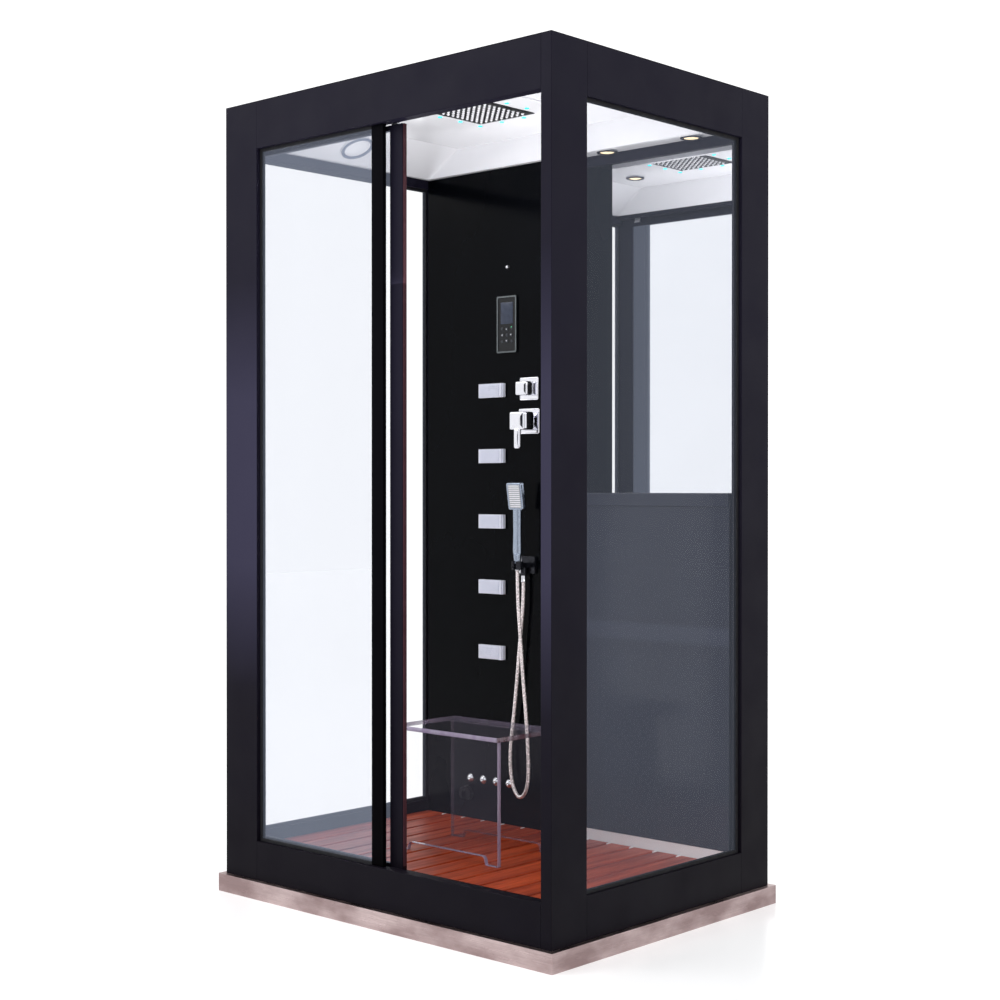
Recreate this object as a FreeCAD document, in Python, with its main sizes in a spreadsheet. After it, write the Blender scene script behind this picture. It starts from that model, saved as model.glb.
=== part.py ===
"""Steam shower cabin, 1200 x 928 x 2150 mm, as a parametric FreeCAD document.

Millimetres, +Z up. The origin is the middle of the footprint at floor level. The open front looks
along -Y, and the door slides along X behind the fixed half of the front glass.
"""

import FreeCAD
import Part
import math
import os
import Sketcher
from FreeCAD import Placement, Rotation, Vector

# ---------------------------------------------------------------------------------------------
# Driving dimensions: alias, millimetres (or a count), meaning
# ---------------------------------------------------------------------------------------------
DIMENSIONS = [
    # the whole cabin
    ("body_width", 1168, "frame, left to right"),
    ("body_depth", 896, "frame, front to back"),
    ("total_height", 2150, "floor to top of the roof cover"),
    ("plinth_height", 48, "steel skirt under the frame"),
    ("plinth_overhang", 16, "skirt beyond the frame, all round"),
    ("plinth_sheet", 3, "sheet of the skirt"),
    ("plinth_flange", 60, "ledge inside the skirt, which carries the frame"),
    ("outlet_notch", 100, "notch in the back of the skirt for the waste pipe"),
    # the frame of flat box profiles
    ("post_face", 130, "broad face of the front posts"),
    ("rear_post_face", 126, "broad face of the back posts"),
    ("profile_depth", 32, "narrow face of every profile"),
    ("profile_wall", 3, "wall of every profile"),
    ("top_beam_height", 126, "upper beams"),
    ("sill_height", 105, "lower beams"),
    ("roof_sheet", 2, "cover over the frame"),
    ("edge_round", 1.5, "rounding of the long profile edges"),
    ("rear_bar_depth", 10, "flat bars across the back"),
    ("rear_sheet", 2, "sheet that closes the back"),
    ("niche_rail_depth", 8, "bar over the mirror, in front of the mirror face"),
    ("louvre_count", 8, "louvres in the back sheet"),
    ("louvre_pitch", 26, "louvres, middle to middle"),
    ("louvre_height", 8, "louvres"),
    ("louvre_inset", 40, "louvres from the sides of the steam generator"),
    ("louvre_rise", 60, "lowest louvre above the foot of the steam generator"),
    # glass and seals
    ("glass_thick", 6, "fixed panes"),
    ("glass_gap", 2, "pane to profile, inside the seal"),
    ("seal_depth", 12, "glazing seal, across the pane"),
    ("seal_height", 8, "glazing seal, seen beside the pane"),
    ("fixed_set_back", 2, "front pane behind the middle of its post"),
    ("fixed_edge", 22, "free edge of the fixed front pane, right of the middle"),
    ("fixed_stile_width", 42, "stile on the free edge of the fixed pane"),
    ("fixed_stile_lip", 32, "stile over the edge of the pane"),
    # sliding door
    ("door_width", 572, "door, stile to stile"),
    ("door_thick", 16, "door frame"),
    ("door_clear", 4, "door frame to the inner face of the front"),
    ("door_travel", 483, "slide from open to closed"),
    ("door_end_gap", 2, "closed door to the right front post"),
    ("door_head_gap", 2, "door below the edge of the upper beam"),
    ("door_foot_drop", 6, "door below the top of the sill, behind it"),
    ("lead_stile", 44, "stile that closes on the post"),
    ("trail_stile", 14, "stile behind the fixed pane"),
    ("door_rail", 12, "upper and lower rails of the door"),
    ("door_glass_thick", 5, "pane of the door"),
    ("door_groove", 9, "groove for the pane in the door frame"),
    ("groove_play", 0.5, "pane to the sides of its groove"),
    ("track_depth", 28, "upper and lower tracks, front to back"),
    ("track_wall", 2.5, "wall of the tracks"),
    ("track_slot", 8, "slot under the upper track"),
    ("track_head_play", 1.7, "room above the rollers in the upper track"),
    ("top_track_rise", 14, "upper track above the edge of the beam"),
    ("foot_track_height", 12, "lower track"),
    ("wheel_radius", 9.5, "door rollers"),
    ("wheel_width", 7, "door rollers"),
    ("wheel_play", 0.3, "roller above its flange, and beside its hanger"),
    ("wheel_inset", 1, "rollers beside the slot of the upper track"),
    ("axle_radius", 2.5, "roller axles"),
    ("axle_play", 0.08, "axle to roller, on the radius"),
    ("hanger_width", 22, "hanger plates"),
    ("hanger_thick", 3, "hanger plates"),
    ("hanger_inset", 30, "hanger from the end of the door"),
    ("shoe_inset", 2, "hanger shoes inside the faces of the door"),
    ("shoe_height", 4, "hanger shoes on top of the door"),
    ("guide_depth", 9, "guide fin below the door"),
    # tray and deck
    ("tray_gap", 1, "tray to frame"),
    ("tray_rim", 18, "rim beside the deck"),
    ("tray_front_rim", 36, "rim under the door track"),
    ("tray_height", 85, "rim above the plinth"),
    ("tray_side_rim", 46, "rims under the ends of the deck, above the plinth"),
    ("tray_floor", 22, "floor of the tray above the plinth"),
    ("tray_shelf", 64, "rear shelf above the plinth"),
    ("upstand_height", 39, "white strip on the shelf, below the lower panel"),
    ("upstand_depth", 24, "white strip, front to back"),
    ("waste_radius", 46, "hole in the tray"),
    ("waste_back", 60, "waste behind the middle of the cabin"),
    ("trap_play", 0.5, "trap to the hole in the tray"),
    ("trap_wall", 3, "side wall of the trap"),
    ("trap_bottom", 4, "bottom of the trap"),
    ("cap_lip", 10, "cap of the trap beyond the hole"),
    ("cap_thick", 3, "cap of the trap"),
    ("cap_slot_count", 7, "slots in the cap"),
    ("cap_slot_pitch", 9, "slots in the cap, middle to middle"),
    ("cap_slot_width", 4, "slots in the cap"),
    ("cap_slot_length", 48, "slots in the cap"),
    ("waste_pipe_radius", 18, "outlet pipe"),
    ("waste_bore", 15.5, "outlet pipe, inside radius"),
    ("spigot_radius", 20, "outlet spigot at the back of the plinth"),
    ("spigot_length", 40, "outlet spigot at the back of the plinth"),
    ("foot_radius", 20, "pads of the levelling feet"),
    ("foot_stem_radius", 6, "threaded stems of the levelling feet"),
    ("foot_pad", 8, "thickness of the pads"),
    ("foot_inset_x", 150, "outer feet from the side of the frame"),
    ("foot_inset_y", 118, "feet from the front and back of the frame"),
    ("slat_count", 14, "deck slats"),
    ("slat_pitch", 79, "deck slats, middle to middle"),
    ("slat_width", 71, "deck slats"),
    ("slat_thick", 26, "deck slats"),
    ("slat_end_gap", 4, "slats to the rim and to the back wall"),
    ("bearer_height", 25, "bearers under the slats"),
    ("bearer_width", 40, "bearers under the slats"),
    ("bearer_inset", 20, "outer bearers from the ends of the slats"),
    ("bearer_end", 20, "bearers inside the outer edges of the deck"),
    ("clip_length", 12, "clips between the slats, at their back ends"),
    ("clip_drop", 4, "clips below the slats"),
    ("clip_foot_length", 26, "feet that join the clips to the bearer"),
    ("clip_foot_height", 8, "feet that join the clips to the bearer"),
    # back wall
    ("mirror_back", 16, "mirror face to the back of the frame"),
    ("mirror_thick", 4, "mirror glass"),
    ("niche_depth", 118, "column face to mirror face"),
    ("column_width", 519, "dark column"),
    ("wall_sheet", 4, "column and lower panel"),
    ("wall_gap", 2, "wall panels to the frame"),
    ("column_return", 30, "fold on the hidden side of the column"),
    ("mirror_inset", 101, "flange of the column beside the mirror"),
    ("mirror_top", 2034, "top of the mirror above the floor"),
    ("ledge_top", 1094, "top of the ledge above the floor"),
    ("ledge_thick", 37, "ledge"),
    ("ledge_nose", 4, "ledge in front of the column face"),
    ("ledge_round", 3, "front edge of the ledge"),
    # roof
    ("rim_level", 2048, "underside of the roof rim above the floor"),
    ("pan_rise", 72, "ceiling above the rim"),
    ("pan_wall", 4, "moulded roof"),
    ("pan_rim", 14, "flat rim beside the slopes"),
    ("pan_slope", 140, "run of the slopes at the sides"),
    ("pan_slope_front", 60, "run of the slope at the front"),
    ("pan_slope_back", 16, "run of the steep slope at the back"),
    ("niche_rise", 16, "soffit over the niche above the rim"),
    ("pan_corner", 12, "corners of the slopes"),
    ("pan_back", 14, "slopes in front of the column"),
    ("rain_shift", 3, "white square in front of the middle of the ceiling"),
    ("rain_panel_size", 390, "white square in the ceiling"),
    ("rain_panel_thick", 4, "white square in the ceiling"),
    ("rain_plate_size", 198, "dark spray plate"),
    ("rain_plate_thick", 2, "dark spray plate"),
    ("led_radius", 6, "lights round the spray plate"),
    ("led_ring", 121, "lights from the middle of the plate"),
    ("led_depth", 6, "length of the lights"),
    ("led_proud", 2, "lights below the white square"),
    ("lamp_radius", 30, "bezels of the downlights"),
    ("lamp_bezel", 4, "bezels below the ceiling"),
    ("lamp_inset", 116, "first niche lamp from the column"),
    ("roof_lamp_x", -290, "lamp beside the white square"),
    ("roof_lamp_back", 108, "that lamp in front of the middle of the white square"),
    ("lamp_pitch", 290, "niche lamps, middle to middle"),
    ("lamp_gap", 5, "niche lamps to the bar over the mirror"),
    ("lamp_play", 1, "lamp bodies to their holes, on the radius"),
    ("lamp_body_radius", 24, "lamp bodies above the ceiling"),
    ("lamp_body_height", 24, "lamp bodies above the ceiling"),
    ("speaker_radius", 48, "ceiling speaker"),
    ("speaker_thick", 6, "ceiling speaker"),
    ("speaker_x", -466, "ceiling speaker"),
    ("speaker_y", -66, "ceiling speaker"),
    # fittings on the column
    ("jet_x", -283, "middle of the body jets"),
    ("jet_width", 98, "body jets"),
    ("jet_height", 41, "body jets"),
    ("jet_depth", 14, "body jets"),
    ("jet_first", 623, "lowest body jet above the floor"),
    ("jet_pitch", 193, "body jets, middle to middle"),
    ("jet_count", 5, "body jets"),
    ("jet_step", 4, "turned-up end in front of the jet's face"),
    ("jet_fold_width", 8, "turned-up end"),
    ("jet_fold_inset", 12, "turned-up end, from the right end of the jet"),
    ("jet_rib_count", 6, "ribs on each jet"),
    ("jet_rib_pitch", 5.6, "ribs, middle to middle"),
    ("jet_rib_height", 3, "ribs"),
    ("jet_rib_proud", 2, "ribs in front of the jet's face"),
    ("jet_rib_first", 5, "lowest rib above the jet's lower edge"),
    ("jet_rib_left", 8, "ribs from the left end"),
    ("jet_rib_gap", 6, "ribs to the turned-up end"),
    ("panel_x", -225, "control panel"),
    ("panel_z", 1587, "control panel"),
    ("panel_width", 76, "control panel"),
    ("panel_height", 166, "control panel"),
    ("panel_depth", 6, "control panel"),
    ("panel_border", 5, "raised border of the control panel"),
    ("panel_recess", 1.5, "face below the border"),
    ("key_radius", 5, "keys"),
    ("key_play", 0.4, "key to its hole, on the radius"),
    ("key_proud", 1.6, "keys in front of the panel face"),
    ("key_stroke", 0.8, "travel of the keys"),
    ("key_spread", 17, "keys from the middle of their cross"),
    ("key_drop", 31, "middle of the keys below the middle of the panel"),
    ("key_floor", 0.8, "wall behind the key holes"),
    ("sensor_z", 1755, "temperature sensor"),
    ("sensor_radius", 7.5, "temperature sensor"),
    ("sensor_tip", 4.5, "front of the temperature sensor, radius"),
    ("sensor_depth", 4, "temperature sensor"),
    ("valve_x", -136, "diverter, mixer and hand shower"),
    ("plate_depth", 8, "wall plates of diverter and mixer"),
    ("plate_round", 4, "corners of the wall plates"),
    ("diverter_z", 1395, "diverter"),
    ("diverter_plate_width", 70, "diverter plate"),
    ("diverter_plate_height", 66, "diverter plate"),
    ("knob_width", 45, "diverter knob"),
    ("knob_height", 40, "diverter knob"),
    ("knob_depth", 32, "diverter knob"),
    ("knob_neck", 4, "plate to knob"),
    ("neck_radius", 12, "necks of knob and mixer"),
    ("turn_play", 0.3, "between turning faces"),
    ("mixer_z", 1301, "mixer"),
    ("mixer_plate_width", 78, "mixer plate"),
    ("mixer_plate_height", 73, "mixer plate"),
    ("handle_width", 56, "mixer handle block"),
    ("handle_height", 52, "mixer handle block"),
    ("handle_depth", 45, "mixer handle block"),
    ("handle_gap", 10, "mixer handle block to its plate"),
    ("handle_pocket", 18, "hollow in the back of the handle, radius"),
    ("handle_pocket_depth", 17, "hollow in the back of the handle"),
    ("hub_inside", 12, "hub inside the handle"),
    ("pin_radius", 3, "pin on which the handle tilts"),
    ("pin_length", 46, "pin on which the handle tilts"),
    ("pin_inset", 5, "tilt pin inside the back of the handle"),
    ("pin_play", 0.15, "pin to its bores, on the radius"),
    ("pin_end_play", 0.5, "pin to the ends of its bores"),
    ("lever_width", 22, "lever below the handle"),
    ("lever_thick", 9, "lever below the handle"),
    ("lever_drop", 54, "lever below the handle"),
    # hand shower, its bracket and hose
    ("grip_out", 58, "hand shower grip in front of the column"),
    ("nut_bottom", 890, "lower end of the hose nut above the floor"),
    ("nut_small", 9.2, "hose nut, lower radius"),
    ("nut_large", 12, "hose nut, upper radius"),
    ("nut_height", 28, "hose nut"),
    ("grip_width", 30, "grip"),
    ("grip_depth", 17, "grip"),
    ("grip_length", 134, "grip"),
    ("grip_waist", 1, "grip drawn in on each side at half its height"),
    ("head_width", 56, "spray head"),
    ("head_height", 78, "spray head"),
    ("head_depth", 16, "spray head"),
    ("head_lean", 9, "spray head, degrees forward"),
    ("head_round", 5, "corners of the spray head"),
    ("head_overlap", 6, "spray head over the top of the grip"),
    ("fork_bottom", 873, "holder above the floor"),
    ("fork_height", 24, "holder"),
    ("fork_radius", 17, "holder, outside"),
    ("fork_play", 0.35, "hose nut to holder"),
    ("fork_slot", 13, "slot in front of the holder"),
    ("arm_width", 16, "arm from the wall plate to the holder"),
    ("arm_height", 14, "arm from the wall plate to the holder"),
    ("arm_overlap", 6, "arm into the wall of the holder"),
    ("bracket_left", 44, "wall plate, left of the grip"),
    ("bracket_right", 22, "wall plate, right of the grip"),
    ("bracket_height", 50, "wall plate of the bracket"),
    ("bracket_z", 885, "middle of the wall plate"),
    ("outlet_left", 12, "hose outlet, left of the grip"),
    ("outlet_out", 18, "hose outlet in front of the column"),
    ("outlet_drop", 2, "hose outlet below the middle of the wall plate"),
    ("outlet_bottom", 855, "mouth of the hose outlet above the floor"),
    ("outlet_radius", 9, "hose outlet"),
    ("hose_radius", 5.5, "hose"),
    # low jets and steam outlet
    ("dome_x", -372, "first of the low jets"),
    ("dome_pitch", 51, "low jets, middle to middle"),
    ("dome_count", 4, "low jets"),
    ("dome_z", 240, "low jets above the floor"),
    ("dome_radius", 12, "low jets"),
    ("dome_depth", 9, "low jets"),
    ("dome_rim", 3, "cylindrical rim of the low jets"),
    ("dome_shoulder", 10.2, "low jets, radius above the rim"),
    ("dome_tip", 4.8, "low jets, radius in front"),
    ("steam_x", -384, "steam outlet"),
    ("steam_z", 194, "steam outlet above the floor"),
    ("steam_radius", 22, "steam outlet"),
    ("steam_depth", 16, "steam outlet"),
    ("steam_bore", 12, "hole of the steam outlet"),
    ("steam_floor", 4, "wall behind the hole of the steam outlet"),
    ("steam_ring", 4, "ring behind the open mouth of the steam outlet"),
    # stool
    ("stool_left", -239, "left side of the seat"),
    ("stool_width", 387, "seat, left to right"),
    ("stool_front", -147, "front edge of the seat"),
    ("stool_depth", 248, "seat, front to back"),
    ("stool_height", 338, "seat above the deck"),
    ("stool_sheet", 11, "acrylic sheet"),
    ("stool_inset", 9, "leg panels inside the seat edge"),
    ("stool_side_inset", 6, "leg panels inside the ends of the seat"),
    ("stool_foot", 44, "feet of the leg panels"),
    ("stool_arch", 22, "arch between the feet"),
    # equipment behind the column
    ("boiler_left", -480, "steam generator"),
    ("boiler_width", 300, "steam generator"),
    ("boiler_depth", 84, "steam generator"),
    ("boiler_height", 340, "steam generator"),
    ("boiler_level", 330, "steam generator above the floor"),
    ("back_gap", 4, "equipment in front of the back sheet"),
    ("steam_pipe_radius", 11, "pipe from the generator to the steam outlet"),
    ("steam_pipe_inset", 20, "steam pipe behind the front of the generator"),
    ("inlet_radius", 10.48, "G 1/2 threads of the water inlets"),
    ("inlet_length", 22, "free length of the water inlets behind the sheet"),
    ("inlet_gap", 24, "first water inlet from the side of the column"),
    ("inlet_pitch", 150, "hot to cold"),
    ("inlet_z", 320, "water inlets above the floor"),
    ("inlet_block", 40, "valve blocks behind the inlets"),
    ("supply_pipe_radius", 8, "pipes above the valve blocks"),
    ("supply_pipe_length", 480, "pipes above the valve blocks"),
    ("inlet_hole_play", 1.5, "inlets and gland to the holes in the back sheet"),
    ("gland_inset", 20, "cable gland from the side of the steam generator"),
    ("gland_rise", 30, "cable gland above the foot of the steam generator"),
    ("gland_radius", 9, "cable gland"),
    ("gland_length", 16, "cable gland behind the sheet"),
    ("gland_bore", 4, "hole for the mains cable"),
]

# The hose hangs in one loop: strand from the grip, loop, strand up to the outlet. Corners that its
# tangent arcs round off, in x from the grip, y from the column face and z above the floor; the
# first and last point come from the fittings.
HOSE_CORNERS = [
    (0, -58, 798), (11, -59, 690), (22, -60, 570), (37, -62, 450), (46, -64, 352),
    (50, -67, 277), (33, -61, 232), (-7, -42, 211), (-46, -23, 232), (-64, -16, 277),
    (-65, -16, 350), (-48, -18, 452), (-33, -20, 570), (-22.5, -19, 685), (-12, -18, 778),
]
HOSE_REACH = 0.45       # share of the shorter run that an arc of the hose takes up
CUTTER_PAST = 1         # cutters reach this far past what they cut, and joined pieces into each other
DOCUMENT = FreeCAD.newDocument("SteamCabin")
SHEET = DOCUMENT.addObject("Spreadsheet::Sheet", "Dims")
NODES = {}
TURN_TO_X = Rotation(Vector(0, 1, 0), 90)
TURN_TO_Y = Rotation(Vector(1, 0, 0), -90)
TURN_TO_FRONT = Rotation(Vector(1, 0, 0), 90)


class Size:
    """A length that carries its formula for the document and its present number."""

    def __init__(self, formula, number):
        self.formula = formula
        self.number = float(number)

    def joined(self, other, sign, number):
        return Size("(%s %s %s)" % (self.formula, sign, size(other).formula), number)

    def __add__(self, other):
        return self.joined(other, "+", self.number + size(other).number)

    def __sub__(self, other):
        return self.joined(other, "-", self.number - size(other).number)

    def __mul__(self, other):
        return self.joined(other, "*", self.number * size(other).number)

    def __truediv__(self, other):
        return self.joined(other, "/", self.number / size(other).number)

    def __neg__(self):
        return Size("(0 - %s)" % self.formula, -self.number)


def size(value):
    """Any number as a Size."""
    return value if isinstance(value, Size) else Size("(%s)" % float(value), value)


class Table:
    """The driving dimensions by name, as Sizes."""


def fill_sheet():
    """Write the driving dimensions into the spreadsheet and return them by name."""
    table = Table()
    for row, (alias, number, meaning) in enumerate(DIMENSIONS, start=1):
        SHEET.set("A%d" % row, meaning)
        SHEET.set("B%d" % row, str(number))
        SHEET.setAlias("B%d" % row, alias)
        setattr(table, alias, Size("Dims." + alias, number))
    DOCUMENT.recompute()
    return table


D = fill_sheet()

# ---------------------------------------------------------------------------------------------
# Levels and faces that several pieces share
# ---------------------------------------------------------------------------------------------
LEFT = -D.body_width / 2
RIGHT = D.body_width / 2
FRONT = -D.body_depth / 2
BACK = D.body_depth / 2
INNER_LEFT = LEFT + D.profile_depth
INNER_RIGHT = RIGHT - D.profile_depth
INNER_FRONT = FRONT + D.profile_depth
REAR_POST_FRONT = BACK - D.rear_post_face
FRAME_TOP = D.total_height - D.roof_sheet
FRAME_HEIGHT = FRAME_TOP - D.plinth_height
HEAD = FRAME_TOP - D.top_beam_height
SILL = D.plinth_height + D.sill_height
OPENING_HEIGHT = HEAD - SILL
MIRROR_FACE = BACK - D.mirror_back
COLUMN_FACE = MIRROR_FACE - D.niche_depth
REAR_SHEET_BACK = BACK - D.rear_bar_depth + D.rear_sheet
COLUMN_LEFT = INNER_LEFT + D.wall_gap
COLUMN_RIGHT = COLUMN_LEFT + D.column_width
MIRROR_LEFT = COLUMN_RIGHT + D.mirror_inset
PANEL_RIGHT = INNER_RIGHT - D.wall_gap
TRAY_RIM_TOP = D.plinth_height + D.tray_height
SHELF_TOP = D.plinth_height + D.tray_shelf
TRAY_FLOOR_TOP = D.plinth_height + D.tray_floor
DECK_TOP = TRAY_FLOOR_TOP + D.bearer_height + D.slat_thick
CEILING = D.rim_level + D.pan_rise
SOFFIT = D.rim_level + D.niche_rise
DOOR_FRONT = INNER_FRONT + D.door_clear
DOOR_MIDDLE = DOOR_FRONT + D.door_thick / 2
DOOR_RIGHT = INNER_RIGHT - D.door_end_gap - D.door_travel
DOOR_LEFT = DOOR_RIGHT - D.door_width
DOOR_BOTTOM = SILL - D.door_foot_drop
DOOR_TOP = HEAD - D.door_head_gap
TRACK_BOTTOM = HEAD + D.top_track_rise
AXLE_LEVEL = TRACK_BOTTOM + D.track_wall + D.wheel_play + D.wheel_radius
HANGER_CENTRES = (DOOR_LEFT + D.hanger_inset, DOOR_RIGHT - D.hanger_inset)
GRIP_Y = COLUMN_FACE - D.grip_out
PAN_FRONT = INNER_FRONT + D.track_depth
RAIN_Y = (PAN_FRONT + COLUMN_FACE) / 2 - D.rain_shift
NICHE_BACK = MIRROR_FACE - D.niche_rail_depth
EQUIPMENT_BACK = BACK - D.rear_bar_depth - D.back_gap
GLAND_X = D.boiler_left + D.boiler_width - D.gland_inset
GLAND_LEVEL = D.boiler_level + D.gland_rise
INLET_PLACES = [COLUMN_RIGHT + D.inlet_gap + D.inlet_pitch * i for i in range(2)]


# ---------------------------------------------------------------------------------------------
# Building blocks
# ---------------------------------------------------------------------------------------------
def place(item, x, y, z, turn=None):
    """Bind the place of an object, after an optional turn."""
    item.Placement = Placement(Vector(0, 0, 0), turn or Rotation())
    for axis, value in zip("xyz", (x, y, z)):
        item.setExpression("Placement.Base." + axis, size(value).formula)
    return item


def block(name, x, y, z, length, width, height):
    """A box from its lowest corner."""
    item = DOCUMENT.addObject("Part::Box", name)
    for side, value in (("Length", length), ("Width", width), ("Height", height)):
        item.setExpression(side, size(value).formula)
    return place(item, x, y, z)


def rod(name, turn, x, y, z, radius, length):
    """A cylinder from the middle of its first end, along Z or along the given turn."""
    item = DOCUMENT.addObject("Part::Cylinder", name)
    item.setExpression("Radius", size(radius).formula)
    item.setExpression("Height", size(length).formula)
    return place(item, x, y, z, turn)


def cone(name, turn, x, y, z, first, last, length):
    """A cone frustum from the middle of its first end."""
    item = DOCUMENT.addObject("Part::Cone", name)
    for side, value in (("Radius1", first), ("Radius2", last), ("Height", length)):
        item.setExpression(side, size(value).formula)
    return place(item, x, y, z, turn)


def join(name, *pieces):
    """Several objects as one."""
    item = DOCUMENT.addObject("Part::MultiFuse", name)
    item.Shapes = list(pieces)
    return item


def cut(name, base, *tools):
    """The base without the tools."""
    item = DOCUMENT.addObject("Part::Cut", name)
    item.Base = base
    item.Tool = tools[0] if len(tools) == 1 else join(name + "_tools", *tools)
    return item


def solid(name, shape):
    """A shape made with Part's own functions, where it is."""
    item = DOCUMENT.addObject("Part::Feature", name)
    item.Shape = shape
    item.Placement = Placement()
    return item


def along(edge, axis):
    """Whether an edge is straight and runs along the axis."""
    if not isinstance(edge.Curve, (Part.Line, Part.LineSegment)):
        return False
    ends = [vertex.Point for vertex in edge.Vertexes]
    return abs((ends[1] - ends[0]).normalize().dot(axis)) > 0.999


def soften(name, base, radius, chosen):
    """Round the chosen edges of an object."""
    DOCUMENT.recompute()
    item = DOCUMENT.addObject("Part::Fillet", name)
    item.Base = base
    numbers = [i for i, edge in enumerate(base.Shape.Edges, start=1) if chosen(edge)]
    item.Edges = [(i, radius.number, radius.number) for i in numbers]
    return item


def soft_block(name, x, y, z, length, width, height, radius, axis):
    """A box whose edges along one axis are rounded."""
    base = block(name + "_block", x, y, z, length, width, height)
    return soften(name, base, radius, lambda edge: along(edge, axis))


def rectangle(sketch, inset, width, height):
    """A rectangle in a sketch, its lower left corner inset from the origin, bound to its sizes."""
    first = sketch.GeometryCount
    corners = [Vector(0, 0, 0), Vector(9, 0, 0), Vector(9, 9, 0), Vector(0, 9, 0)]
    for i in range(4):
        sketch.addGeometry(Part.LineSegment(corners[i], corners[(i + 1) % 4]), False)
    for i in range(4):
        sketch.addConstraint(Sketcher.Constraint("Coincident", first + i, 2, first + (i + 1) % 4, 1))
    for i, kind in enumerate(("Horizontal", "Vertical", "Horizontal", "Vertical")):
        sketch.addConstraint(Sketcher.Constraint(kind, first + i))
    if inset is None:
        sketch.addConstraint(Sketcher.Constraint("Coincident", first, 1, -1, 1))
    else:
        for kind in ("DistanceX", "DistanceY"):
            number = sketch.addConstraint(Sketcher.Constraint(kind, -1, 1, first, 1, 3))
            sketch.setExpression("Constraints[%d]" % number, size(inset).formula)
    for kind, line, value in (("DistanceX", 0, width), ("DistanceY", 1, height)):
        number = sketch.addConstraint(Sketcher.Constraint(kind, first + line, 1, first + line, 2, 9))
        sketch.setExpression("Constraints[%d]" % number, size(value).formula)


def profile(name, turn, x, y, z, width, height, wall, length):
    """A hollow rectangular profile: a padded sketch, turned to its direction.

    Unturned it runs along Z with its width along X; turned to X its width lies along Y and its
    height along Z; turned to Y its width lies along Z and its height along X.
    """
    body = DOCUMENT.addObject("PartDesign::Body", name + "_body")
    sketch = body.newObject("Sketcher::SketchObject", name + "_section")
    plane = [item for item in body.Origin.OriginFeatures if item.Role == "XY_Plane"][0]
    sketch.AttachmentSupport = [(plane, "")]
    sketch.MapMode = "FlatFace"
    rectangle(sketch, None, width, height)
    rectangle(sketch, wall, size(width) - size(wall) * 2, size(height) - size(wall) * 2)
    pad = body.newObject("PartDesign::Pad", name + "_pad")
    pad.Profile = sketch
    pad.setExpression("Length", size(length).formula)
    body.Tip = pad
    return place(body, x, y, z, turn)


ALONG_X = Rotation(Vector(1, 1, 1), 120)
ALONG_Y = Rotation(Vector(1, 1, 1), 240)


def keep(label, item):
    """Register an object as a finished piece under its own name."""
    item.Label = label
    NODES[label] = item
    return item


# ---------------------------------------------------------------------------------------------
# Plinth, feet, tray and deck
# ---------------------------------------------------------------------------------------------
def make_plinth():
    """Steel skirt with a ledge inside its top, notched at the back for the waste pipe."""
    out, sheet = D.plinth_overhang, D.plinth_sheet
    length, width = D.body_width + out * 2, D.body_depth + out * 2
    skirt = soft_block("plinth_outside", LEFT - out, FRONT - out, 0, length, width, D.plinth_height,
                       D.plinth_sheet, Vector(0, 0, 1))
    hollow = block("plinth_hollow", LEFT - out + sheet, FRONT - out + sheet, -CUTTER_PAST,
                   length - sheet * 2, width - sheet * 2, D.plinth_height - sheet + CUTTER_PAST)
    inner = D.plinth_flange
    window = block("plinth_window", LEFT - out + inner, FRONT - out + inner, -CUTTER_PAST,
                   length - inner * 2, width - inner * 2, D.plinth_height + CUTTER_PAST * 2)
    notch = block("plinth_notch", -D.outlet_notch / 2, BACK, -CUTTER_PAST, D.outlet_notch,
                  D.plinth_overhang * 2, D.plinth_height - sheet + CUTTER_PAST)
    keep("plinth_skirt", cut("plinth", skirt, hollow, window, notch))


def make_feet():
    """Eight levelling feet between the floor and the tray."""
    pieces = []
    outer = RIGHT - D.foot_inset_x
    across = (-outer, -outer / 3, outer / 3, outer)
    for row, y in enumerate((FRONT + D.foot_inset_y, BACK - D.foot_inset_y)):
        for column, x in enumerate(across):
            name = "foot_%d_%d" % (row, column)
            pieces.append(rod(name + "_pad", None, x, y, 0, D.foot_radius, D.foot_pad))
            pieces.append(rod(name + "_stem", None, x, y, 0, D.foot_stem_radius, D.plinth_height))
    keep("levelling_feet", join("feet", *pieces))


def make_tray():
    """White moulded tray: a high rim in front, low rims under the deck, a shelf, a white upstand."""
    x, y = INNER_LEFT + D.tray_gap, INNER_FRONT + D.tray_gap
    length, width = D.body_width - D.profile_depth * 2 - D.tray_gap * 2, MIRROR_FACE - y
    slab = block("tray_slab", x, y, D.plinth_height, length, width, D.tray_shelf)
    rim = block("tray_wall", x, y, D.plinth_height, length, COLUMN_FACE - y, D.tray_height)
    hollow = block("tray_hollow", x + D.tray_rim, y + D.tray_front_rim, TRAY_FLOOR_TOP,
                   length - D.tray_rim * 2, COLUMN_FACE - y - D.tray_front_rim, D.tray_height)
    rounded = soften("tray_hollow_round", hollow, D.tray_rim, lambda edge: along(edge, Vector(0, 0, 1)))
    waste = rod("tray_waste", None, 0, D.waste_back, D.plinth_height - CUTTER_PAST, D.waste_radius,
                D.tray_floor + CUTTER_PAST * 2)
    upstand = block("tray_upstand", COLUMN_RIGHT + D.tray_gap, COLUMN_FACE + D.tray_gap,
                    SHELF_TOP - CUTTER_PAST, x + length - COLUMN_RIGHT - D.tray_gap, D.upstand_depth,
                    D.upstand_height + CUTTER_PAST)
    step_y = y + D.tray_front_rim
    step = block("tray_step", x - CUTTER_PAST, step_y, D.plinth_height + D.tray_side_rim,
                 length + CUTTER_PAST * 2, COLUMN_FACE - step_y, D.tray_height)
    basin = cut("tray_basin", join("tray_mass", slab, rim), rounded, step, waste)
    keep("base_tray", join("tray", basin, upstand))


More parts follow.
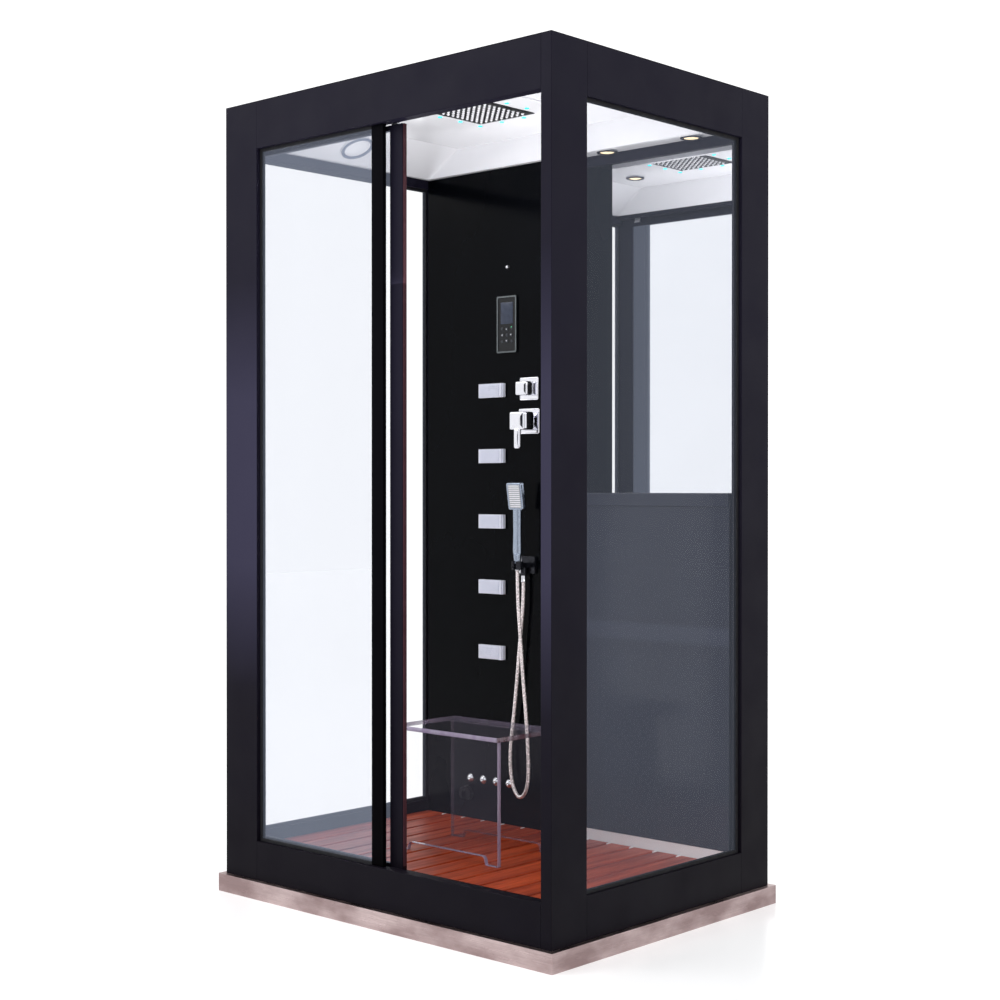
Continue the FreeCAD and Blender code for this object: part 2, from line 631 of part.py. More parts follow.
def make_waste():
    """Shallow trap with a slotted cap in the tray, and its pipe to the back of the plinth."""
    y, low = D.waste_back, D.foot_pad
    radius, roof = D.waste_radius - D.trap_play, TRAY_FLOOR_TOP
    bowl = rod("trap_bowl", None, 0, y, low - D.trap_bottom, radius, roof - low + D.trap_bottom)
    cap = rod("trap_cap", None, 0, y, roof, D.waste_radius + D.cap_lip, D.cap_thick)
    hollow = rod("trap_hollow", None, 0, y, low, radius - D.trap_wall, roof - low - CUTTER_PAST)
    slots = []
    first = y - D.cap_slot_pitch * (D.cap_slot_count - 1) / 2 - D.cap_slot_width / 2
    for i in range(int(D.cap_slot_count.number)):
        slots.append(block("trap_slot_%d" % i, -D.cap_slot_length / 2, first + D.cap_slot_pitch * i,
                           roof - CUTTER_PAST * 2, D.cap_slot_length, D.cap_slot_width,
                           D.cap_thick + CUTTER_PAST * 5))
    level = D.plinth_height / 2
    pipe_start, pipe_end = y + radius - D.trap_wall * 2, BACK + D.plinth_overhang
    pipe = rod("trap_pipe", TURN_TO_Y, 0, pipe_start, level, D.waste_pipe_radius, pipe_end - pipe_start)
    spigot = rod("trap_spigot", TURN_TO_Y, 0, pipe_end - D.spigot_length, level, D.spigot_radius,
                 D.spigot_length)
    bore_start = pipe_start - CUTTER_PAST * 2
    bore = rod("trap_bore", TURN_TO_Y, 0, bore_start, level, D.waste_bore,
               pipe_end - bore_start + CUTTER_PAST)
    keep("waste_trap", cut("trap", join("trap_mass", bowl, cap, pipe, spigot), hollow, bore, *slots))


def make_deck():
    """Duckboard: slats that run front to back on three bearers, with white clips at the back."""
    front = INNER_FRONT + D.tray_gap + D.tray_front_rim + D.slat_end_gap
    length = COLUMN_FACE - D.slat_end_gap - front
    first = -D.slat_pitch * (D.slat_count - 1) / 2 - D.slat_width / 2
    level = TRAY_FLOOR_TOP + D.bearer_height
    slats = []
    for i in range(int(D.slat_count.number)):
        slats.append(soft_block("slat_%d" % i, first + D.slat_pitch * i, front, level, D.slat_width,
                                length, D.slat_thick, D.edge_round * 2, Vector(0, 1, 0)))
    keep("deck_slats", join("slats", *slats))
    width = D.slat_pitch * (D.slat_count - 1) + D.slat_width
    bearers = []
    back = front + length
    for i, place_y in enumerate((front + D.bearer_inset, front + length / 2 - D.bearer_width * 2,
                                 back - D.bearer_width - D.bearer_inset)):
        bearers.append(block("bearer_%d" % i, first + D.bearer_end, place_y, TRAY_FLOOR_TOP,
                             width - D.bearer_end * 2, D.bearer_width, D.bearer_height))
    gap = D.slat_pitch - D.slat_width
    for i in range(int(D.slat_count.number) - 1):
        x = first + D.slat_width + D.slat_pitch * i + gap / 8
        bearers.append(block("clip_%d" % i, x, back - D.clip_length, level - D.clip_drop, gap * 3 / 4,
                             D.clip_length, D.slat_thick + D.clip_drop))
        bearers.append(block("clip_foot_%d" % i, x, back - D.clip_foot_length, level - D.clip_foot_height,
                             gap * 3 / 4, D.clip_foot_length, D.clip_foot_height))
    keep("deck_bearers", join("bearers", *bearers))


# ---------------------------------------------------------------------------------------------
# Frame, covers and fixed glass
# ---------------------------------------------------------------------------------------------
def rounded_profile(label, turn, axis, x, y, z, width, height, length):
    """A hollow frame profile with its long outer edges rounded."""
    body = profile(label, turn, x, y, z, width, height, D.profile_wall, length)
    DOCUMENT.recompute()
    box = body.Shape.BoundBox

    def outer(edge):
        """Long edges on the outside of the profile."""
        middle = edge.CenterOfMass
        spans = ((middle.x, box.XMin, box.XMax), (middle.y, box.YMin, box.YMax),
                 (middle.z, box.ZMin, box.ZMax))
        on_faces = sum(min(abs(at - low), abs(at - high)) < 0.01 for at, low, high in spans)
        return along(edge, axis) and on_faces == 2

    keep(label, soften(label + "_round", body, D.edge_round, outer))


def make_posts():
    """Four posts; the left front one turns its broad face to the front, the others to the sides."""
    upright = Vector(0, 0, 1)
    base, depth = D.plinth_height, D.profile_depth
    rounded_profile("post_front_left", None, upright, LEFT, FRONT, base, D.post_face, depth, FRAME_HEIGHT)
    rounded_profile("post_front_right", None, upright, INNER_RIGHT, FRONT, base, depth, D.post_face,
                    FRAME_HEIGHT)
    rounded_profile("post_back_left", None, upright, LEFT, REAR_POST_FRONT, base, depth,
                    D.rear_post_face, FRAME_HEIGHT)
    rounded_profile("post_back_right", None, upright, INNER_RIGHT, REAR_POST_FRONT, base, depth,
                    D.rear_post_face, FRAME_HEIGHT)


def make_beams():
    """Upper beams and sills between the posts, on the front and both sides."""
    depth = D.profile_depth
    spans = {
        "front": (ALONG_X, Vector(1, 0, 0), LEFT + D.post_face, FRONT,
                  D.body_width - D.post_face - depth),
        "right": (ALONG_Y, Vector(0, 1, 0), INNER_RIGHT, FRONT + D.post_face,
                  D.body_depth - D.post_face - D.rear_post_face),
        "left": (ALONG_Y, Vector(0, 1, 0), LEFT, INNER_FRONT,
                 D.body_depth - depth - D.rear_post_face),
    }
    for side, (turn, axis, x, y, length) in spans.items():
        for kind, level, height in (("beam_top_", HEAD, D.top_beam_height),
                                    ("sill_", D.plinth_height, D.sill_height)):
            sizes = (depth, height) if side == "front" else (height, depth)
            rounded_profile(kind + side, turn, axis, x, y, level, sizes[0], sizes[1], length)


def make_back():
    """Flat bars between the back posts, a bar over the niche, and the sheet that closes the back."""
    length = D.body_width - D.profile_depth * 2
    y = BACK - D.rear_bar_depth
    low = block("rear_bar_low", INNER_LEFT, y, D.plinth_height, length, D.rear_bar_depth, D.sill_height)
    top = block("rear_bar_top", INNER_LEFT, y, HEAD, length, D.rear_bar_depth, D.top_beam_height)
    rail = block("niche_rail", COLUMN_RIGHT, NICHE_BACK, D.mirror_top, INNER_RIGHT - COLUMN_RIGHT,
                 y - NICHE_BACK, SOFFIT - D.mirror_top)
    keep("rear_frame", join("rear_bars", low, top, rail))
    sheet = block("back_sheet", INNER_LEFT, y, SILL, length, D.rear_sheet, OPENING_HEIGHT)
    cutter_y, cutter_depth = y - CUTTER_PAST, D.rear_sheet + CUTTER_PAST * 2
    holes = []
    for i, x in enumerate(INLET_PLACES):
        holes.append(rod("inlet_hole_%d" % i, TURN_TO_Y, x, cutter_y, D.inlet_z,
                         D.inlet_radius + D.inlet_hole_play, cutter_depth))
    holes.append(rod("sheet_gland_hole", TURN_TO_Y, GLAND_X, cutter_y, GLAND_LEVEL,
                     D.gland_radius + D.inlet_hole_play, cutter_depth))
    for i in range(int(D.louvre_count.number)):
        holes.append(block("louvre_%d" % i, D.boiler_left + D.louvre_inset, cutter_y,
                           D.boiler_level + D.louvre_rise + D.louvre_pitch * i,
                           D.boiler_width - D.louvre_inset * 2, cutter_depth, D.louvre_height))
    keep("rear_cover", cut("back_cover", sheet, *holes))
    keep("roof_cover", soft_block("roof_sheet", LEFT, FRONT, FRAME_TOP, D.body_width, D.body_depth,
                                  D.roof_sheet, D.edge_round, Vector(0, 0, 1)))


def pane(name, plane, start, length):
    """A glass pane in a side of the frame, and the seal round it."""
    gap, seal, height = D.glass_gap, D.seal_depth, D.seal_height
    glass_at, seal_at = plane - D.glass_thick / 2, plane - seal / 2
    boxes = []
    for tag, at, thick, inset in (("glass", glass_at, D.glass_thick, gap), ("outer", seal_at, seal, 0),
                                  ("inner", seal_at - CUTTER_PAST, seal + CUTTER_PAST * 2, height)):
        inset = size(inset)
        boxes.append(block(name + "_" + tag, at, start + inset, SILL + inset, thick, length - inset * 2,
                           OPENING_HEIGHT - inset * 2))
    glass, outer, inner = boxes
    return glass, cut(name + "_seal", outer, inner, glass)


def make_glass():
    """Left and right panes, the fixed half of the front with its stile, and the seals of all three."""
    half = D.profile_depth / 2
    left, left_seal = pane("left", LEFT + half, INNER_FRONT, REAR_POST_FRONT - INNER_FRONT)
    right, right_seal = pane("right", RIGHT - half, FRONT + D.post_face,
                             REAR_POST_FRONT - FRONT - D.post_face)
    keep("left_glass", left)
    keep("right_glass", right)
    start = LEFT + D.post_face
    y = FRONT + half + D.fixed_set_back
    stile_left = D.fixed_edge - D.fixed_stile_width
    glass_top = SILL + D.glass_gap
    glass_rise = OPENING_HEIGHT - D.glass_gap * 2
    fixed = block("fixed_pane", start + D.glass_gap, y - D.glass_thick / 2, glass_top,
                  stile_left + D.fixed_stile_lip - start - D.glass_gap, D.glass_thick, glass_rise)
    keep("fixed_glass", fixed)
    stile = soft_block("fixed_stile_bar", stile_left, y - D.seal_depth / 2, SILL, D.fixed_stile_width,
                       D.seal_depth, OPENING_HEIGHT, D.edge_round, Vector(0, 0, 1))
    keep("fixed_stile", cut("fixed_stile_cut", stile, fixed))
    outer = block("fixed_outer", start, y - D.seal_depth / 2, SILL, stile_left - start, D.seal_depth,
                  OPENING_HEIGHT)
    inner = block("fixed_inner", start + D.seal_height, y - D.seal_depth, SILL + D.seal_height,
                  stile_left - start, D.seal_depth * 2, OPENING_HEIGHT - D.seal_height * 2)
    front_seal = cut("fixed_seal", outer, inner, fixed)
    keep("glazing_seals", join("seals", left_seal, right_seal, front_seal))


# ---------------------------------------------------------------------------------------------
# Sliding door
# ---------------------------------------------------------------------------------------------
def make_tracks():
    """Upper track, a channel slotted below, and lower track, a channel open above."""
    x, length = INNER_LEFT, D.body_width - D.profile_depth * 2
    wall, inside = D.track_wall, D.track_depth - D.track_wall * 2
    room_height = D.wheel_play + D.wheel_radius * 2 + D.track_head_play
    cutter_x, cutter_length = x - CUTTER_PAST, length + CUTTER_PAST * 2
    top = block("top_track_outside", x, INNER_FRONT, TRACK_BOTTOM, length, D.track_depth,
                room_height + wall * 2)
    room = block("top_track_room", cutter_x, INNER_FRONT + wall, TRACK_BOTTOM + wall, cutter_length, inside,
                 room_height)
    slot = block("top_track_slot", cutter_x, DOOR_MIDDLE - D.track_slot / 2, TRACK_BOTTOM - CUTTER_PAST,
                 cutter_length, D.track_slot, wall + CUTTER_PAST * 2)
    keep("door_track_top", cut("top_track", top, room, slot))
    low = block("foot_track_outside", x + D.tray_gap, INNER_FRONT, TRAY_RIM_TOP, length - D.tray_gap * 2,
                D.track_depth, D.foot_track_height)
    trough = block("foot_track_trough", cutter_x, INNER_FRONT + wall, TRAY_RIM_TOP + wall, cutter_length,
                   inside, D.foot_track_height)
    keep("door_track_bottom", cut("foot_track", low, trough))


def make_door():
    """Door frame with a grooved inside, its pane, its two hangers with axles, and its guide fins."""
    height = DOOR_TOP - DOOR_BOTTOM
    outer = soft_block("door_outside", DOOR_LEFT, DOOR_FRONT, DOOR_BOTTOM, D.door_width, D.door_thick,
                       height, D.edge_round, Vector(0, 0, 1))
    x, z = DOOR_LEFT + D.trail_stile, DOOR_BOTTOM + D.door_rail
    width, rise = D.door_width - D.trail_stile - D.lead_stile, height - D.door_rail * 2
    window = block("door_window", x, DOOR_FRONT - CUTTER_PAST, z, width, D.door_thick + CUTTER_PAST * 2,
                   rise)
    groove, play = D.door_groove, D.groove_play
    thick = D.door_glass_thick + play * 2
    channel = block("door_channel", x - groove, DOOR_MIDDLE - thick / 2, z - groove, width + groove * 2,
                    thick, rise + groove * 2)
    fins = []
    for i, centre in enumerate(HANGER_CENTRES):
        fins.append(block("guide_%d" % i, centre - D.hanger_width / 2,
                          DOOR_MIDDLE - D.hanger_thick / 2, DOOR_BOTTOM - D.guide_depth, D.hanger_width,
                          D.hanger_thick, D.guide_depth + CUTTER_PAST))
    keep("door_frame", join("door_leaf", cut("door_ring", outer, window, channel), *fins))
    edge = groove - D.glass_gap
    keep("door_glass", block("door_pane", x - edge, DOOR_MIDDLE - D.door_glass_thick / 2, z - edge,
                             width + edge * 2, D.door_glass_thick, rise + edge * 2))


def make_rollers():
    """Two rollers in the upper track, and the hangers that carry the door on their axles."""
    plate_front = DOOR_MIDDLE - D.hanger_thick / 2
    wheel_front = DOOR_MIDDLE + D.track_slot / 2 + D.wheel_inset
    hangers = []
    for name, centre in zip(("roller_left", "roller_right"), HANGER_CENTRES):
        plate = block(name + "_hanger", centre - D.hanger_width / 2, plate_front, DOOR_TOP,
                      D.hanger_width, D.hanger_thick, AXLE_LEVEL + D.axle_radius * 2 - DOOR_TOP)
        shoe = block(name + "_shoe", centre - D.hanger_width / 2, DOOR_FRONT + D.shoe_inset, DOOR_TOP,
                     D.hanger_width, D.door_thick - D.shoe_inset * 2, D.shoe_height)
        axle = rod(name + "_axle", TURN_TO_Y, centre, plate_front, AXLE_LEVEL, D.axle_radius,
                   wheel_front + D.wheel_width - plate_front)
        collar = rod(name + "_collar", TURN_TO_Y, centre, plate_front, AXLE_LEVEL, D.axle_radius * 1.6,
                     wheel_front - D.wheel_play - plate_front)
        hangers += [plate, shoe, axle, collar]
        tyre = rod(name + "_tyre", TURN_TO_Y, centre, wheel_front, AXLE_LEVEL, D.wheel_radius,
                   D.wheel_width)
        bore = rod(name + "_bore", TURN_TO_Y, centre, wheel_front - CUTTER_PAST, AXLE_LEVEL,
                   D.axle_radius + D.axle_play, D.wheel_width + CUTTER_PAST * 2)
        keep(name, cut(name + "_wheel", tyre, bore))
    keep("door_hangers", join("hangers", *hangers))


# ---------------------------------------------------------------------------------------------
# Back wall
# ---------------------------------------------------------------------------------------------
def make_back_wall():
    """Folded column with its flange beside the mirror, lower panel, ledge and mirror."""
    sheet, face = D.wall_sheet, COLUMN_FACE
    height = D.rim_level - SHELF_TOP - D.wall_gap
    front = block("column_face", COLUMN_LEFT, face, SHELF_TOP, D.column_width, sheet, height)
    side = block("column_side", COLUMN_RIGHT - sheet, face, SHELF_TOP, sheet,
                 D.niche_depth + D.mirror_thick, height)
    fold = block("column_fold", COLUMN_LEFT, face, SHELF_TOP, sheet, D.column_return, height)
    flange = block("column_flange", COLUMN_RIGHT - sheet, MIRROR_FACE, D.ledge_top,
                   D.mirror_inset + sheet, D.mirror_thick, D.mirror_top - D.ledge_top)
    column = join("column_mass", front, side, fold, flange)
    corner = COLUMN_RIGHT.number
    keep("back_column", soften("column", column, D.edge_round * 2, lambda edge: along(edge, Vector(0, 0, 1))
                               and abs(edge.CenterOfMass.x - corner) < 0.01
                               and abs(edge.CenterOfMass.y - face.number) < 0.01))
    x, length = COLUMN_RIGHT, PANEL_RIGHT - COLUMN_RIGHT
    bottom = SHELF_TOP + D.upstand_height
    top = D.ledge_top - D.ledge_thick
    keep("lower_panel", block("low_panel", x, face, bottom, length, sheet, top - bottom))
    shelf = block("ledge_slab", x, face - D.ledge_nose, top, length, D.niche_depth + D.ledge_nose,
                  D.ledge_thick)
    nose = (face - D.ledge_nose).number
    keep("ledge_shelf", soften("ledge", shelf, D.ledge_round, lambda edge: along(edge, Vector(1, 0, 0))
                               and abs(edge.CenterOfMass.y - nose) < 0.01))
    keep("mirror", block("mirror_glass", MIRROR_LEFT, MIRROR_FACE, D.ledge_top, PANEL_RIGHT - MIRROR_LEFT,
                         D.mirror_thick, D.mirror_top - D.ledge_top))


# ---------------------------------------------------------------------------------------------
# Roof
# ---------------------------------------------------------------------------------------------
def rounded_loop(left, right, front, back, level, radius):
    """A level rectangle with round corners, as a wire of four lines and four arcs."""
    corners = [(right, front, -90), (right, back, 0), (left, back, 90), (left, front, 180)]
    points = []
    for x, y, start in corners:
        centre = Vector(x + radius if x == left else x - radius, 0, level)
        centre.y = y + (radius if y == front else -radius)
        arc = [Vector(radius * math.cos(math.radians(start + turn)),
                      radius * math.sin(math.radians(start + turn)), 0) for turn in (0, 45, 90)]
        points.append([centre + step for step in arc])
    edges = []
    for i, arc in enumerate(points):
        edges.append(Part.Arc(*arc).toShape())
        edges.append(Part.LineSegment(arc[2], points[(i + 1) % 4][0]).toShape())
    return Part.Wire(edges)


def bowl(spread, bottom, top):
    """The space under the ceiling as a solid, grown by a wall."""
    rim, run, corner = D.pan_rim.number, D.pan_slope.number, D.pan_corner.number
    run_front, run_back = D.pan_slope_front.number, D.pan_slope_back.number
    left, right = INNER_LEFT.number + rim - spread, INNER_RIGHT.number - rim + spread
    front, back = PAN_FRONT.number + rim / 2 - spread, (COLUMN_FACE - D.pan_back).number + spread
    low = rounded_loop(left, right, front, back, bottom, corner + spread)
    high = rounded_loop(left + run, right - run, front + run_front, back - run_back, top,
                        corner / 2 + spread)
    return Part.makeLoft([low, high], True, True)


def make_roof_pan():
    """Moulded white roof: a flat rim, four slopes, a flat ceiling, and a raised soffit over the niche."""
    rim, top, wall = D.rim_level.number, CEILING.number, D.pan_wall.number
    left, front = INNER_LEFT.number + D.tray_gap.number, PAN_FRONT.number + D.tray_gap.number
    flange = Part.makeBox(-2 * left, NICHE_BACK.number - front - D.tray_gap.number, wall,
                          Vector(left, front, rim))
    niche_left, niche_front, rise = COLUMN_RIGHT.number, COLUMN_FACE.number, D.niche_rise.number
    niche_right, niche_back = -left - wall, (NICHE_BACK - D.tray_gap).number
    raised = Part.makeBox(niche_right - niche_left + wall * 2, niche_back - niche_front + wall, rise + wall,
                          Vector(niche_left - wall, niche_front - wall, rim))
    recess = Part.makeBox(niche_right - niche_left, niche_back - niche_front + CUTTER_PAST,
                          rise + CUTTER_PAST, Vector(niche_left, niche_front, rim - CUTTER_PAST))
    shell = flange.fuse([bowl(wall, rim, top + wall), raised])
    shell = shell.cut([bowl(0, rim - 0.01, top), recess])
    for x, y, level in lamp_places():
        hole = Part.makeCylinder((D.lamp_body_radius + D.lamp_play).number, wall + CUTTER_PAST * 2,
                                 Vector(x.number, y.number, level.number - CUTTER_PAST))
        shell = shell.cut(hole)
    keep("roof_pan", solid("roof_shell", shell.removeSplitter()))


def lamp_places():
    """Two downlights over the niche, one beside the white square: x, y and ceiling level."""
    soffit = NICHE_BACK - D.lamp_gap - D.lamp_radius
    return [(COLUMN_RIGHT + D.lamp_inset, soffit, SOFFIT),
            (COLUMN_RIGHT + D.lamp_inset + D.lamp_pitch, soffit, SOFFIT),
            (D.roof_lamp_x, RAIN_Y - D.roof_lamp_back, CEILING)]


def make_roof_fittings():
    """White square, spray plate, its ring of lights, downlights, and the speaker on the left slope."""
    half, level = D.rain_panel_size / 2, CEILING - D.rain_panel_thick
    panel = soft_block("rain_square", -half, RAIN_Y - half, level, D.rain_panel_size, D.rain_panel_size,
                       D.rain_panel_thick, D.edge_round * 4, Vector(0, 0, 1))
    lights = []
    step = D.led_ring * 2 / 3
    for i in range(4):
        for j in range(4):
            if i in (0, 3) or j in (0, 3):
                lights.append(rod("led_%d_%d" % (i, j), None, -D.led_ring + step * i,
                                  RAIN_Y - D.led_ring + step * j, level - D.led_proud, D.led_radius,
                                  D.led_depth))
    leds = join("leds", *lights)
    keep("rain_panel", cut("rain_square_cut", panel, leds))
    keep("rain_leds", leds)
    plate = D.rain_plate_size / 2
    keep("rain_plate", soft_block("spray_plate", -plate, RAIN_Y - plate, level - D.rain_plate_thick,
                                  D.rain_plate_size, D.rain_plate_size, D.rain_plate_thick,
                                  D.edge_round * 2, Vector(0, 0, 1)))
    lamps = []
    for i, (x, y, height) in enumerate(lamp_places()):
        lamps.append(rod("lamp_%d_bezel" % i, None, x, y, height - D.lamp_bezel, D.lamp_radius,
                         D.lamp_bezel))
        lamps.append(rod("lamp_%d_body" % i, None, x, y, height - CUTTER_PAST, D.lamp_body_radius,
                         D.lamp_body_height + CUTTER_PAST))
    keep("downlights", join("lamps", *lamps))
    slope = math.degrees(math.atan2(D.pan_rise.number, D.pan_slope.number))
    rise = (D.speaker_x - INNER_LEFT - D.pan_rim) * D.pan_rise / D.pan_slope
    keep("speaker", rod("speaker_disc", Rotation(Vector(0, 1, 0), 180 - slope), D.speaker_x, D.speaker_y,
                        D.rim_level + rise - 0.02, D.speaker_radius, D.speaker_thick))


# ---------------------------------------------------------------------------------------------
# Fittings on the column
# ---------------------------------------------------------------------------------------------
def wall_plate(name, x, z, width, height, depth, radius):
    """A rectangular plate on the column face, centred on x and z, with round corners."""
    return soft_block(name, x - width / 2, COLUMN_FACE - depth, z - height / 2, width, depth, height,
                      radius, Vector(0, 1, 0))


def make_jets():
    """Five flat body jets, ribbed across, each with a turned-up right end."""
    pieces = []
    base = D.jet_depth - D.jet_step
    for i in range(int(D.jet_count.number)):
        name, z = "jet_%d" % i, D.jet_first + D.jet_pitch * i
        bar = wall_plate(name, D.jet_x, z, D.jet_width, D.jet_height, base, D.edge_round)
        left, low = D.jet_x - D.jet_width / 2, z - D.jet_height / 2
        fold_left = left + D.jet_width - D.jet_fold_inset
        ribs = []
        for j in range(int(D.jet_rib_count.number)):
            ribs.append(block("%s_rib_%d" % (name, j), left + D.jet_rib_left,
                              COLUMN_FACE - base - D.jet_rib_proud,
                              low + D.jet_rib_first + D.jet_rib_pitch * j,
                              fold_left - D.jet_rib_gap - left - D.jet_rib_left, D.jet_rib_proud * 2,
                              D.jet_rib_height))
        fold = block(name + "_fold", fold_left, COLUMN_FACE - D.jet_depth, low, D.jet_fold_width, base,
                     D.jet_height)
        pieces.append(join(name + "_all", bar, fold, *ribs))
    keep("body_jets", join("jets", *pieces))


def key_places():
    """The four keys of the control panel, as a cross: name, x, z."""
    z = D.panel_z - D.key_drop
    return [("key_up", D.panel_x, z + D.key_spread), ("key_down", D.panel_x, z - D.key_spread),
            ("key_left", D.panel_x - D.key_spread, z), ("key_right", D.panel_x + D.key_spread, z)]


def make_control_panel():
    """Panel with a raised border, four key holes, four keys, and the sensor above it."""
    depth, border = D.panel_depth, D.panel_border
    slab = wall_plate("panel_slab", D.panel_x, D.panel_z, D.panel_width, D.panel_height, depth, D.plate_round)
    width, height = D.panel_width - border * 2, D.panel_height - border * 2
    face = block("panel_face", D.panel_x - width / 2, COLUMN_FACE - depth - CUTTER_PAST,
                 D.panel_z - height / 2, width, D.panel_recess + CUTTER_PAST, height)
    face_y = COLUMN_FACE - depth + D.panel_recess
    holes, hole_end = [], COLUMN_FACE - D.key_floor
    for name, x, z in key_places():
        holes.append(rod(name + "_hole", TURN_TO_Y, x, face_y - CUTTER_PAST, z, D.key_radius + D.key_play,
                         hole_end - face_y + CUTTER_PAST))
        length = hole_end - D.key_stroke - D.turn_play - face_y + D.key_proud
        keep(name, rod(name + "_cap", TURN_TO_Y, x, face_y - D.key_proud, z, D.key_radius, length))
    dome = cone("sensor_dome", TURN_TO_FRONT, D.panel_x, COLUMN_FACE, D.sensor_z, D.sensor_radius,
                D.sensor_tip, D.sensor_depth)
    keep("control_panel", join("panel", cut("panel_body", slab, face, *holes), dome))


def make_diverter():
    """Diverter: wall plate with a neck, and the square knob that turns in front of it."""
    z, neck = D.diverter_z, COLUMN_FACE - D.plate_depth
    plate = wall_plate("diverter_slab", D.valve_x, z, D.diverter_plate_width, D.diverter_plate_height,
                       D.plate_depth, D.plate_round)
    stub = rod("diverter_neck", TURN_TO_FRONT, D.valve_x, neck + CUTTER_PAST, z, D.neck_radius,
               D.knob_neck + CUTTER_PAST - D.turn_play)
    keep("diverter_plate", join("diverter_base", plate, stub))
    knob_y = neck - D.knob_neck - D.knob_depth
    keep("diverter_knob", soft_block("knob", D.valve_x - D.knob_width / 2, knob_y, z - D.knob_height / 2,
                                     D.knob_width, D.knob_depth, D.knob_height, D.plate_round,
                                     Vector(0, 1, 0)))


def make_mixer():
    """Mixer: wall plate, hub that turns, and a handle block that tilts on a pin through the hub."""
    z, plate_y = D.mixer_z, COLUMN_FACE - D.plate_depth
    keep("mixer_plate", wall_plate("mixer_slab", D.valve_x, z, D.mixer_plate_width,
                                   D.mixer_plate_height, D.plate_depth, D.plate_round))
    back = plate_y - D.handle_gap
    stem = rod("hub", TURN_TO_FRONT, D.valve_x, plate_y - D.turn_play, z, D.neck_radius,
               D.handle_gap + D.hub_inside - D.turn_play)
    pin_y, pin_left = back - D.pin_inset, D.valve_x - D.pin_length / 2
    pin = rod("tilt_pin", TURN_TO_X, pin_left, pin_y, z, D.pin_radius, D.pin_length)
    pin_bore = rod("tilt_pin_bore", TURN_TO_X, pin_left - D.pin_end_play, pin_y, z,
                   D.pin_radius + D.pin_play, D.pin_length + D.pin_end_play * 2)
    keep("mixer_hub", join("hub_mass", stem, pin))
    head = soft_block("handle_block", D.valve_x - D.handle_width / 2, back - D.handle_depth,
                      z - D.handle_height / 2, D.handle_width, D.handle_depth, D.handle_height,
                      D.plate_round, Vector(0, 1, 0))
    lever = soft_block("handle_lever", D.valve_x - D.lever_width / 2, back - D.handle_depth,
                       z - D.handle_height / 2 - D.lever_drop, D.lever_width, D.lever_thick,
                       D.lever_drop + D.plate_round * 2, D.plate_round, Vector(0, 1, 0))
    pocket = rod("handle_hollow", TURN_TO_FRONT, D.valve_x, back + CUTTER_PAST, z, D.handle_pocket,
                 D.handle_pocket_depth + CUTTER_PAST)
    keep("mixer_handle", cut("handle", join("handle_mass", head, lever), pocket, pin_bore))


def make_bracket():
    """Wall plate with the fork that holds the hand shower, and the elbow that feeds the hose."""
    x, y, low = D.valve_x, GRIP_Y, D.fork_bottom
    plate_front = COLUMN_FACE - D.plate_depth
    width = D.bracket_left + D.bracket_right
    plate = wall_plate("bracket_plate", x - D.bracket_left + width / 2, D.bracket_z, width,
                       D.bracket_height, D.plate_depth, D.plate_round)
    ring = rod("fork_ring", None, x, y, low, D.fork_radius, D.fork_height)
    arm_z = low + (D.fork_height - D.arm_height) / 2
    arm_y = y + D.fork_radius - D.arm_overlap
    arm = block("fork_arm", x - D.arm_width / 2, arm_y, arm_z, D.arm_width,
                plate_front - arm_y + CUTTER_PAST, D.arm_height)
    taper = (D.nut_large - D.nut_small) / D.nut_height
    seat_low = D.nut_small + D.fork_play + taper * (low - D.nut_bottom)
    seat_high = D.nut_small + D.fork_play + taper * (low + D.fork_height - D.nut_bottom)
    seat = cone("fork_seat", None, x, y, low, seat_low, seat_high, D.fork_height)
    slot = block("fork_slot_cut", x - D.fork_slot / 2, y - D.fork_radius - CUTTER_PAST,
                 low - CUTTER_PAST, D.fork_slot, D.fork_radius + CUTTER_PAST,
                 D.fork_height + CUTTER_PAST * 2)
    elbow_x, elbow_y = x - D.outlet_left, COLUMN_FACE - D.outlet_out
    elbow_z = D.bracket_z - D.outlet_drop
    feed = rod("outlet_feed", TURN_TO_Y, elbow_x, elbow_y, elbow_z, D.outlet_radius,
               plate_front - elbow_y + CUTTER_PAST)
    drop = rod("outlet_mouth", None, elbow_x, elbow_y, D.outlet_bottom, D.outlet_radius,
               elbow_z - D.outlet_bottom)
    knee = DOCUMENT.addObject("Part::Sphere", "outlet_knee")
    knee.setExpression("Radius", D.outlet_radius.formula)
    place(knee, elbow_x, elbow_y, elbow_z)
    fork = cut("fork", join("fork_mass", ring, arm), seat, slot)
    keep("shower_bracket", join("bracket", plate, fork, feed, drop, knee))


def make_handset():
    """Hand shower: conical hose nut, grip of rounded section, and a spray head that leans forward."""
    x, y = D.valve_x.number, GRIP_Y.number
    low = D.nut_bottom.number
    nut = Part.makeCone(D.nut_small.number, D.nut_large.number, D.nut_height.number, Vector(x, y, low))
    grip_low = low + D.nut_height.number
    width, depth = D.grip_width.number / 2, D.grip_depth.number / 2
    corner = depth / 2
    sections = []
    for height, narrowing in ((0, 0), (0.5, 1), (1, 0.5)):
        inset = narrowing * D.grip_waist.number
        sections.append(rounded_loop(x - width + inset, x + width - inset, y - depth + inset,
                                     y + depth - inset, grip_low + height * D.grip_length.number, corner))
    grip = Part.makeLoft(sections, True, False)
    head_w, head_d = D.head_width.number, D.head_depth.number
    head = Part.makeBox(head_w, head_d, D.head_height.number,
                        Vector(-head_w / 2, -head_d / 2, 0))
    upright = [edge for edge in head.Edges if along(edge, Vector(0, 1, 0))]
    head = head.makeFillet(D.head_round.number, upright)
    head.rotate(Vector(), Vector(1, 0, 0), D.head_lean.number)
    head.translate(Vector(x, y, grip_low + (D.grip_length - D.head_overlap).number))
    keep("handset", solid("handset_shape", nut.fuse([grip, head]).removeSplitter()))


